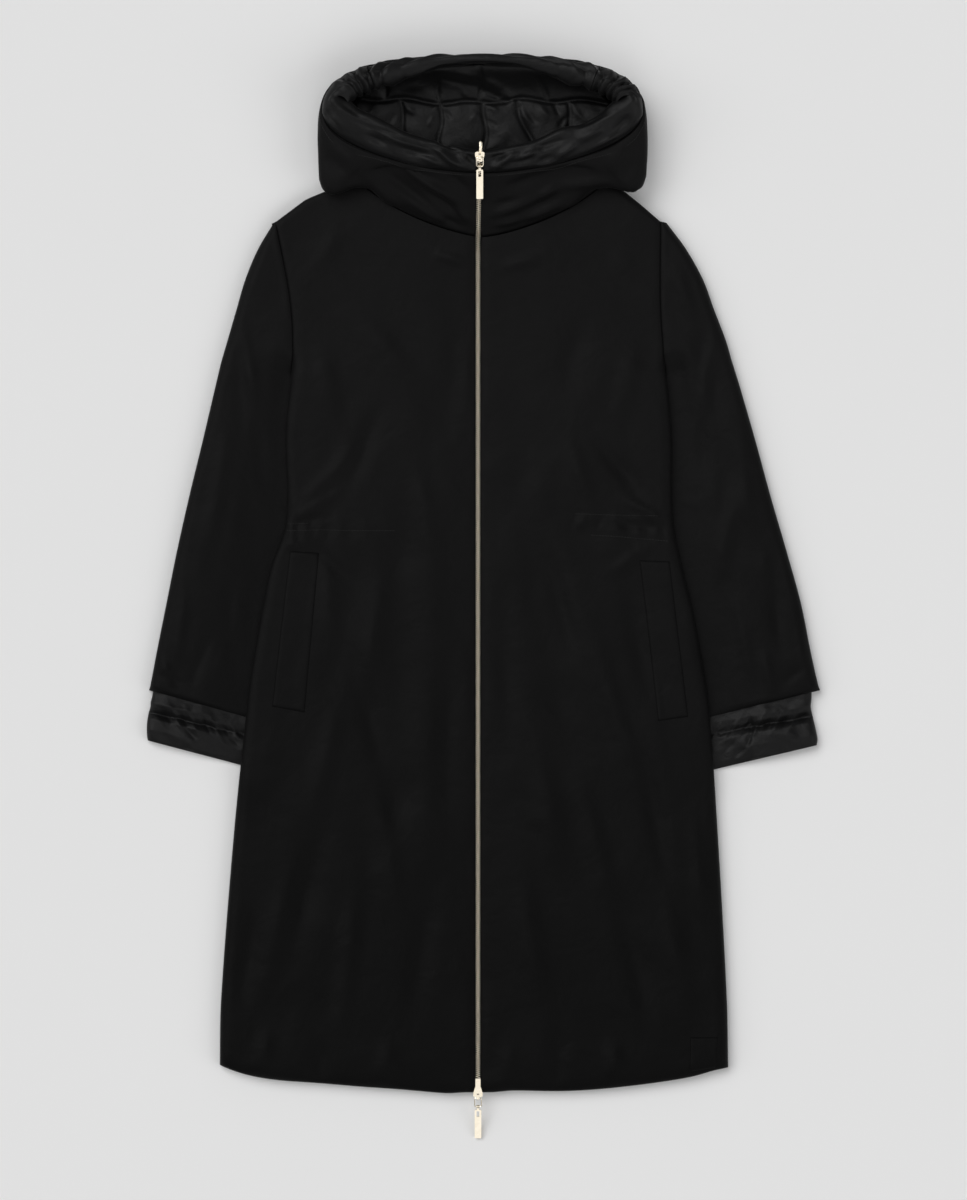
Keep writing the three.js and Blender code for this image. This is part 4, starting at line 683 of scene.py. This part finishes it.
def shoulder_y(side, x):
    (x0, y0), (x1, y1), (x2, y2), (x3, y3) = SHOULDER[side]
    inner = np.interp(x, [x0, x1, x2, x3], [y0, y1, y2, y3])
    before = y0 + (y1 - y0) / (x1 - x0) * (x - x0)
    beyond = y3 + (y3 - y2) / (x3 - x2) * (x - x3)
    return np.where(x < x0, before, np.where(x > x3, beyond, inner))


FAR, ZIP_ZONE, TOP_ROUND = 99, 180.0, 11
FRONT_CREASE, WAIST_GATHER, SEWN_HALF, SEWN_DEPTH = 4.2, 1.7, 1.6, -0.9
HEM_STEPS = [0, 0.8, 2, 3.6, 5.8, 8.5, 12, 16]
TOP_SHARES = np.r_[np.linspace(0, 0.86, 18), 0.89, 0.92, 0.945, 0.965, 0.98, 0.99, 1]


def body_places(side, top_y, step, edge_steps, zip_steps):
    """Places of one body half: X, Y, the height share near the hem, and the distance to the top edge."""
    turn = -side
    inner = np.arange(step, ZIP_ZONE - zip_steps[-1] - step / 2, step)
    shares = np.concatenate([inner / ZIP_ZONE, [1 - d / ZIP_ZONE for d in zip_steps[::-1]]])
    offsets = np.asarray(edge_steps, float)
    column = np.arange(len(offsets) + len(shares))

    def column_x(y):
        edge = edge_x(side, y)
        from_x = edge + turn * LIFT_END
        wide = lerp(from_x, zip_x(y) - turn * ZIP_SLOT, np.r_[0 * offsets, shares][column])
        return np.where(column < len(offsets), edge + turn * np.r_[offsets, 0 * shares][column], wide)

    hem = hem_y(column_x(np.full(len(column), float(SIDE_HEM_Y))))
    rows = []
    for up in HEM_STEPS:
        rows.append((hem + up, up, FAR))
    for t in np.linspace(0, 1, 10)[1:]:
        rows.append((lerp(hem + HEM_STEPS[-1], -500, t), FAR, FAR))
    for y in np.arange(-500 + step, WARP_Y - 1, step):
        rows.append((np.full(len(column), y), FAR, FAR))
    places = [(column_x(np.maximum(y, SIDE_HEM_Y)), y, up + 0 * y, far + 0 * y) for y, up, far in rows]
    for share in TOP_SHARES:
        x = column_x(np.full(len(column), lerp(WARP_Y, SHOULDER_Y, share)))
        top = top_y(side, x)
        y = lerp(WARP_Y, top, share)
        places.append((x, y, FAR + 0 * y, top - y))
    grid = [np.array(v) for v in zip(*places)]
    return grid if side < 0 else [v[:, ::-1] for v in grid]


def lift_at(side, x, y):
    from_edge = np.abs(x - edge_x(side, y))
    level = np.minimum(ramp(y, -240, -212), 1 - ramp(y, 266, 282))
    return EDGE_LIFT * level * (1 - ramp(from_edge, LIFT_FLAT, LIFT_END))


def back_heights(side, x, y, up):
    lift = lift_at(side, x, y)
    from_edge = np.abs(x - edge_x(side, y))
    thick = BACK_THICK - EDGE_LIFT_SQUEEZE * lift / EDGE_LIFT
    least = lerp(0.5, 0.8, smooth(y, 268, 300))
    hem = edge_share(up, 16, 0.5)
    return lift, lift + thick * edge_share(from_edge, EDGE_ROUND, least) * lerp(0.4, 1, hem)


def polyline_strokes(lines, width, height):
    return [(*a, *b, width, height) for line in lines for a, b in zip(line, line[1:])]


def front_heights(side, x, y, up, to_top):
    low = back_heights(side, x, y, up)[1] + LAYER_GAP
    lift = lift_at(side, x, y) / EDGE_LIFT
    from_edge = np.abs(x - edge_x(side, y))
    from_zip = np.abs(x - zip_x(y)) - ZIP_SLOT
    at_neck = neck_y(x) < shoulder_y(side, x) + 2
    end = edge_share(up, 16, 0.5) * np.where(at_neck, 1, edge_share(to_top, TOP_ROUND, 0.45))
    neck_rise = 3.6 * smooth(y, 340, 424) * (1 - smooth(np.abs(x), 60, 150))
    middle = smooth(from_edge, 15, 90) * smooth(from_zip, 5, 60) * (1 - smooth(y, 330, 460))
    folds = (strokes(FOLDS, x, y) + FRONT_PUFF) * middle * smooth(y, HEM_Y, -540)
    armhole = smooth(y, 268, 300)
    edges = edge_share(from_edge, lerp(EDGE_ROUND, 7, armhole), lerp(0.3, 0.8, armhole))
    edges = edges * edge_share(from_zip, ZIP_ROUND, 0.66) * end
    clear = smooth(from_edge, 2, 14) * smooth(from_zip, 2, 10) * smooth(up, 1, 10) * smooth(to_top, 1, 10)
    gathers = [(gx, gy + half, gx + 0.2 * half, gy - half, width, rise)
               for gx, gy, half, width, rise in WAIST_GATHERS]
    fine = FRONT_CREASE * strokes(FRONT_CREASES, x, y, True) + WAIST_GATHER * strokes(gathers, x, y, True)
    fine = fine + 1.2 * ripple(x, y, 24) + 0.22 * ripple(x + 40, y, 8.5)
    sewn = strokes(polyline_strokes(WAIST_LINES[side], SEWN_HALF, SEWN_DEPTH), x, y)
    high = low + (FRONT_THICK - 2.5 * lift) * edges + neck_rise + folds * end + fine * clear + sewn * clear
    return low, np.maximum(high, low + 1.2)


EDGE_STEPS = [0, 0.7, 1.8, 3.4, 5.4, 8, 11, 14.5, 18.5, 23, 28, 33.5, 39, 45, 52]
ZIP_STEPS = [0, 0.5, 1.3, 2.5, 4.1, 6, 8.2, 10.8, 14, 18]
FACES = {}


def front_top(side, x):
    return np.minimum(shoulder_y(side, x), neck_y(x))


def back_top(side, x):
    return np.minimum(shoulder_y(side, x), BACK_NECK_Y)


def build_body():
    pieces, halves = {}, []
    for side, word in SIDES:
        x, y, up, to_top = body_places(side, front_top, 4.2, EDGE_STEPS, ZIP_STEPS)
        low, high = front_heights(side, x, y, up, to_top)
        face, back = np.stack([x, y, high], -1), np.stack([x, y, low], -1)
        FACES[side] = face
        pieces[f"front_{word}"] = add_sheet(f"front_{word}", "shell", SHELL, face, back)
    for side, _ in SIDES:
        x, y, up, _ = body_places(side, back_top, 9, EDGE_STEPS[::2], [0, 6, 16])
        low, high = back_heights(side, x, y, up)
        halves.append((np.stack([x, y, high], -1), np.stack([x, y, low], -1)))
    face, back = (np.concatenate([halves[0][k], halves[1][k]], 1) for k in (0, 1))
    pieces["back_panel"] = add_sheet("back_panel", "shell", SHELL, face, back)
    return pieces


def face_tree(side):
    face = FACES[side]
    return BVHTree.FromPolygons(face.reshape(-1, 3).tolist(), grid_quads(face)[1].tolist())


def height_on(tree, x, y):
    hit = tree.ray_cast(Vector((x, y, 500)), Vector((0, 0, -1)))
    return hit[0].z if hit[0] else 0.0


def build_patches(trees):
    pieces = {}
    for name, (side, thick, top_left, top_right, low_left, low_right) in PATCHES.items():
        rows, columns = (60, 16) if "welt" in name else (22, 20)
        v, u = np.meshgrid(np.linspace(0, 1, rows), np.linspace(0, 1, columns), indexing="ij")
        corner = [np.array(p, float) for p in (low_left, low_right, top_left, top_right)]
        ends = [lerp(corner[k], corner[k + 1], u[..., None]) for k in (0, 2)]
        at = lerp(*ends, v[..., None])
        ground = np.array([[height_on(trees[side], *p) for p in row] for row in at])
        wide, tall = np.linalg.norm(corner[1] - corner[0]), np.linalg.norm(corner[2] - corner[0])
        rim = np.minimum(np.minimum(u, 1 - u) * wide, np.minimum(v, 1 - v) * tall)
        swell = 0.35 * ripple(at[..., 0], at[..., 1], 11) * smooth(rim, 2, 8)
        high = ground + 0.25 + 0.36 * thick * edge_share(rim, 4, 0.2) + swell
        face = np.concatenate([at, high[..., None]], -1)
        back = np.concatenate([at, (ground + 0.2)[..., None]], -1)
        pieces[name] = add_sheet(name, "shell", SHELL, face, back)
    return pieces


# Sleeves and cuffs.
SLEEVE_CREASE, OUTER_LEAST, HEM_STITCH_Y = 4.2, 0.3, 14
CUFF_SEAM_ROW, CUFF_SKEW, CUFF_SEAM_DEPTH, CUFF_SEAM_HALF, CUFF_PUCKER = 127, 2.8, 2.8, 1.9, 2.2
SLEEVE_COLUMNS, CUFF_COLUMNS = 34, 68
SLEEVE_ROWS = np.r_[-444, -443, -441, -438, -434, -430, np.arange(-425, 98, 4.6),
                    99, 102, 104, 105.5, 106.5, 107]
CUFF_ROWS = np.r_[106, np.arange(107.5, 168, 1.25), 168.4, 169]


def tube_places(side, table, rows, columns, thick_share, tucks, unders):
    """Places across a flattened tube, from its outer edge to its inner one."""
    turn = -side
    down = -table[:, 2]
    outer_x = table_value(down, table[:, 0 if side < 0 else 1], rows)[:, None]
    outer_y = -rows[:, None]
    inner_y = table_value(down, table[:, 3], rows)[:, None]
    tuck = np.interp(rows, down, tucks)[:, None]
    under = np.interp(rows, down, unders)[:, None]
    body_x = edge_x(side, inner_y) + turn * SEAM
    cross_x = body_x - turn * TUCK_LEAD
    inner_x = body_x + turn * tuck * SLEEVE_TUCK
    near = np.array([0, 0.6, 1.6, 3.1, 5.2, 8, 11.5, 16, 21.5]) / 150
    share = np.r_[near, np.linspace(0.18, 0.97, columns), 1]
    x = lerp(outer_x, cross_x, share)
    tail = np.linspace(0.12, 1, 9)
    x = np.concatenate([x, lerp(cross_x, inner_x, tail)], 1)
    share = np.r_[share, 1 + tail]
    y = outer_y + (inner_y - outer_y) / (body_x - outer_x) * (x - outer_x)
    squeeze = under * smooth(share, 0.48, 1)
    full = np.interp(rows, down, thick_share)[:, None]
    inner_gap = np.abs(inner_x - x) + 40 * tuck
    return x, y, np.abs(x - outer_x), squeeze, full, inner_gap


def tube_heights(places, thick):
    x, y, from_outer, squeeze, full, inner_gap = places
    layer = thick * lerp(1, SLEEVE_SQUEEZE, squeeze) * full
    seam = edge_share(inner_gap, 7, 0.8)
    under = layer * edge_share(from_outer, SLEEVE_ROUND, 0.5) * seam
    low = under + LAYER_GAP
    return under, low, low + layer * edge_share(from_outer, SLEEVE_ROUND, OUTER_LEAST) * seam


def add_tube(name, slot, finish, x, y, under, low, high):
    made = {}
    for word, top, bottom in (("under", under, 0 * under), ("upper", high, low)):
        made[f"{name}_{word}"] = add_sheet(
            f"{name}_{word}", slot, finish, np.stack([x, y, top], -1), np.stack([x, y, bottom], -1))
    return made


def sleeve_grid(side):
    thick = [1] * (len(SLEEVES) - 1) + [0.85]
    places = tube_places(side, SLEEVES, SLEEVE_ROWS, SLEEVE_COLUMNS, thick, SLEEVES[:, 4], SLEEVES[:, 5])
    x, y, from_outer, squeeze, _, inner_gap = places
    under, low, high = tube_heights(places, SLEEVE_THICK)
    loose = (1 - squeeze) * smooth(from_outer, 6, 30)
    to_hem = (SLEEVE_ROWS[-1] - SLEEVE_ROWS)[:, None]
    clear = (1 - squeeze) * smooth(from_outer, 3, 14) * smooth(inner_gap, 2, 12) * smooth(to_hem, 0.5, 6)
    fine = SLEEVE_CREASE * strokes(SLEEVE_CREASES, x, y, True)
    fine = fine + 1.1 * ripple(x, y, 19) + 0.22 * ripple(x, y + 30, 8)
    hem_line = -0.5 * np.exp(-((to_hem - HEM_STITCH_Y) / 1.3) ** 2)
    high = high + strokes(SLEEVE_FOLDS, x, y) * loose + (fine + hem_line) * clear
    return x, y, under, low, low + np.maximum(high - low, 1.0) * edge_share(to_hem, 5, 0.6)


def cuff_grid(side):
    even = [1] * len(CUFFS)
    rows = CUFF_ROWS[:, None]
    places = tube_places(side, CUFFS, CUFF_ROWS, CUFF_COLUMNS, even, even, even)
    x, y, from_outer, squeeze, _, inner_gap = places
    y = y - side * CUFF_SKEW * smooth(rows, 130, 169)
    across = from_outer / from_outer.max(axis=1, keepdims=True)
    off_seam = rows - CUFF_SEAM_ROW - CUFF_SEAM_FALL[side] * (1 - 1.35 * across)
    full = np.interp(CUFF_SEAM_ROW + off_seam, -CUFFS[:, 2], CUFFS[:, 4])
    under, low, high = tube_heights((x, y, from_outer, squeeze, full, inner_gap), CUFF_THICK)
    clear = (1 - 0.5 * squeeze) * smooth(from_outer, 1, 8)
    ends = smooth(rows - rows[0], 0, 4) * smooth(rows[-1] - rows, 0, 4)
    relief = cuff_relief(side, x, y, across, off_seam)
    return x, y, under, low, np.maximum(high + relief * clear * ends, low + 0.6)


def build_sleeves():
    pieces = {}
    for side, word in SIDES:
        pieces.update(add_tube(f"sleeve_{word}", "shell", SHELL, *sleeve_grid(side)))
        pieces.update(add_tube(f"cuff_{word}", "lining", LINING, *cuff_grid(side)))
    return pieces


def cuff_relief(side, x, y, across, off_seam):
    """Puckers and creases of a quilted cuff about its gathered seam."""
    wander = off_seam + 1.2 * np.sin(x / 5.3 + 1.3 * np.sin(x / 8.7))
    relief = -CUFF_SEAM_DEPTH * np.exp(-np.abs(wander) / CUFF_SEAM_HALF)
    for at, length, rise in CUFF_PUCKERS:
        at = at if side < 0 else 1.03 - at
        lean = 0.005 * off_seam
        pucker = np.exp(-((across - at - lean) / 0.02) ** 2 - (off_seam / length) ** 2)
        relief = relief + CUFF_PUCKER * rise * pucker
    creases = strokes(CUFF_CREASES[side], x, y, True)
    return relief + creases + 0.7 * ripple(x, y, 5) + 1.3 * ripple(x + 70, y, 12)


# Zip.
TOOTH_PITCH, TOOTH_HALF, TOOTH_REACH = 2.46, 0.50, 0.55
PIN_END, PIN_DROP, BOX_Y, BOX_DROP = 537.5, 1.4, (-576, -564), 1.2
# Rings of the pin and the box: share of the way, half width and half height.
PIN_RINGS = [(0, 2.0, 1.2), (0.45, 2.1, 1.3), (0.62, 2.3, 1.5), (0.92, 2.2, 1.4), (1, 1.6, 1.0)]
BOX_RINGS = [(0, 3.6, 2.0), (0.04, 4.2, 2.6), (0.94, 4.2, 2.6), (1, 3.4, 1.8)]


def chain_path():
    """Height of the zip's chain along Y."""
    left, right = FACES[-1][:, -1], FACES[1][:, 0]
    y, z = (left[8:, 1] + right[8:, 1]) / 2, (left[8:, 2] + right[8:, 2]) / 2 + CHAIN_RISE
    keep = y < 412
    levels = np.array([0.25, 1, 2, 3, 3.6, 4])
    feet = [hood_point(side, 0, levels, HOOD_WALL) for side in (-1, 1)]
    up = (feet[0] + feet[1]) / 2
    return np.r_[CHAIN_FROM - 20, y[keep], up[:, 1]], np.r_[z[keep][0], z[keep], up[:, 2] + CHAIN_RISE]


def tooth(centre, turn, slope):
    """One tooth of the zip: a small block with bevelled edges, reaching past the middle."""
    rings = []
    for z, inset in ((-CHAIN_THICK, 0.1), (-0.55, 0), (0, 0.32)):
        a, b = turn * (inset - TOOTH_REACH), turn * (CHAIN_HALF - inset)
        h = TOOTH_HALF - inset * 0.8
        rings += [(a, -h, z), (b, -h, z), (b, h, z), (a, h, z)]
    points = np.array(rings) + [centre[0], 0, centre[2]]
    points[:, 2] += slope * points[:, 1]
    points[:, 1] += centre[1]
    faces = [[3, 2, 1, 0], [8, 9, 10, 11]]
    for base in (0, 4):
        faces += [[base + k, base + (k + 1) % 4, base + 4 + (k + 1) % 4, base + 4 + k] for k in range(4)]
    return points, np.array(faces)


def build_chain():
    ys, zs = chain_path()
    for turn, word in SIDES:
        points, faces, count = [], [], 0
        start = CHAIN_FROM + (1.0 if turn < 0 else 1.0 + TOOTH_PITCH / 2)
        for y in np.arange(start, CHAIN_TO - 4, TOOTH_PITCH):
            z, ahead = np.interp(y, ys, zs), np.interp(y + 1, ys, zs)
            p, f = tooth((zip_x(y), y, z), turn, ahead - z)
            points.append(p)
            faces.append(f + count)
            count += len(p)
        made = add_mesh(f"zip_teeth_{word}", np.vstack(points), np.vstack(faces), GOLD, even=False)
        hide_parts(f"zip_chain_{word}")


def add_rod(name, ends, radii, sides):
    """A rod of round or squarish rings between two points, one radius pair per ring."""
    a, b = (np.array(end, float) for end in ends)
    along = unit(b - a)
    over = unit(np.cross([1, 0, 0], along))
    angle = np.linspace(0, 2 * np.pi, sides, endpoint=False) + np.pi / sides
    points = [a + (b - a) * t + np.outer(np.cos(angle), [wide, 0, 0]) + np.outer(np.sin(angle), over * tall)
              for t, wide, tall in radii]
    index = np.arange(sides)
    faces = [index[::-1].tolist(), (index + sides * (len(radii) - 1)).tolist()]
    for k in range(len(radii) - 1):
        low, high = index + sides * k, index + sides * (k + 1)
        faces += np.stack([low, np.roll(low, -1), np.roll(high, -1), high], -1).tolist()
    mesh = bpy.data.meshes.new(name)
    mesh.from_pydata(world(np.vstack(points)).tolist(), [], faces)
    mesh.materials.append(GOLD)
    made = bpy.data.objects.new(name, mesh)
    bpy.context.scene.collection.objects.link(made)
    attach(made, "coat")


def build_zip_ends():
    """The pin above the top slider and the box above the bottom one."""
    ys, zs = chain_path()
    top, ahead = np.interp(CHAIN_TO, ys, zs), np.interp(CHAIN_TO + 1, ys, zs)
    rise = min(ahead - top, 0.3)
    end = top - PIN_DROP + rise * (PIN_END - CHAIN_TO)
    add_rod("zip_top_pin", [(-3.4, CHAIN_TO, top - PIN_DROP), (-3.2, PIN_END, end)], PIN_RINGS, 12)
    low = np.interp(sum(BOX_Y) / 2, ys, zs) - BOX_DROP
    add_rod("zip_foot_box", [(ZIP_X, y, low) for y in BOX_Y], BOX_RINGS, 4)


# Stitches.
STITCH, STITCH_GAP, STITCH_ROUND = 2.6, 0.7, 0.32
STITCH_RINGS = ((0, 0.35, 0.3), (0.2, 1, 0.05), (0.8, 1, 0.05), (1, 0.35, 0.3))
HOOD_STITCH_LEVEL, LINE_STEP, LINE_RISE = 2.82, 2, 0.15


def stitch_run(points):
    """Ends of the stitches along a line of points."""
    points = np.asarray(points, float)
    steps = np.linalg.norm(np.diff(points, axis=0), axis=1)
    far = np.r_[0, steps.cumsum()]
    starts = np.arange(0.3, far[-1] - STITCH, STITCH + STITCH_GAP)
    return [np.stack([np.interp(at, far, points[:, k]) for k in range(3)], -1)
            for at in (starts, starts + STITCH)]


def add_stitches(name, lines):
    points, faces, count = [], [], 0
    angle = np.linspace(0, 2 * np.pi, 6, endpoint=False)
    for line in lines:
        for a, b in zip(*stitch_run(line)):
            along = unit(b - a)
            side = unit(np.cross(along, [0, 0, 1]))
            over = np.cross(side, along)
            for t, r, drop in STITCH_RINGS:
                circle = np.outer(np.cos(angle), side) + np.outer(np.sin(angle), over)
                points.append(a + (b - a) * t - over * drop + STITCH_ROUND * r * circle)
            for k in range(3):
                low, high = count + 6 * k + np.arange(6), count + 6 * k + 6 + np.arange(6)
                faces.append(np.stack([low, np.roll(low, -1), np.roll(high, -1), high], -1))
            count += 24
    add_mesh(name, np.vstack(points), np.vstack(faces), THREAD)


def on_front(tree, line):
    """Places along a line, just above a front's face."""
    line = np.asarray(line, float)
    far = np.r_[0, np.linalg.norm(np.diff(line, axis=0), axis=1).cumsum()]
    places = np.arange(0, far[-1], LINE_STEP)
    xy = np.stack([np.interp(places, far, line[:, k]) for k in range(2)], -1)
    return np.array([(x, y, height_on(tree, x, y) + LINE_RISE) for x, y in xy])


def build_stitches(trees):
    for side, word in SIDES:
        add_stitches(f"front_stitches_{word}", [on_front(trees[side], line) for line in WAIST_LINES[side]])
        ways = np.linspace(0.03, 0.5, 120)
        edge = hood_point(side, ways, HOOD_STITCH_LEVEL, HOOD_WALL + 0.35)
        add_stitches(f"hood_stitches_{word}", [edge])


PIECES = {**build_hood(), **build_hood_back(), **build_body(), **build_sleeves()}
TREES = {side: face_tree(side) for side in (-1, 1)}
PIECES.update(build_patches(TREES))
build_chain()
build_zip_ends()
build_stitches(TREES)
for name in ("slider_top", "bail_top", "pull_top", "slider_bottom", "bail_bottom", "pull_bottom"):
    finishes = frame["nodes"][name].data.materials
    finishes.clear()
    finishes.append(GOLD)


# Floor and light.
FLOOR_SIZE, FLOOR_DROP, SKY_STRENGTH = 30, 0.0004, 0.25
# Lights: name, place that they shine from, spread in degrees, power.
LIGHTS = [("key", (-2.4, 2.6, 4.6), 40, 1.25), ("top", (0.3, 0.5, 6.0), 34, 0.25),
          ("front", (0.3, -4.2, 4.8), 40, 0.35), ("left", (-5.0, 0.4, 3.6), 40, 0.50),
          ("right", (4.6, -1.6, 3.6), 40, 0.60)]


def build_stage():
    made, tree, shader = material("pale_floor", (0.80, 0.80, 0.80), 0.9, 0.1)
    place = node(tree, "ShaderNodeTexCoord").outputs["Object"]
    varied_colour(tree, shader, place, (0.795, 0.795, 0.795), (0.805, 0.805, 0.805), 3.0)
    bpy.ops.mesh.primitive_plane_add(size=FLOOR_SIZE, location=(0, 0, -FLOOR_DROP))
    floor = bpy.context.object
    floor.name = "floor"
    floor.data.materials.append(made)


def add_light(name, place, spread, power):
    light = bpy.data.lights.new(name, "SUN")
    light.angle = math.radians(spread)
    light.energy = power
    made = bpy.data.objects.new(name, light)
    made.location = place
    made.rotation_euler = (-Vector(place)).to_track_quat("-Z", "Y").to_euler()
    bpy.context.scene.collection.objects.link(made)


def build_light():
    sky = bpy.data.worlds.new("studio")
    sky.use_nodes = True
    sky.node_tree.nodes["Background"].inputs["Color"].default_value = (1, 1, 1, 1)
    sky.node_tree.nodes["Background"].inputs["Strength"].default_value = SKY_STRENGTH
    bpy.context.scene.world = sky
    for light in LIGHTS:
        add_light(*light)


build_stage()
build_light()
bpy.context.scene.view_settings.view_transform = "Standard"
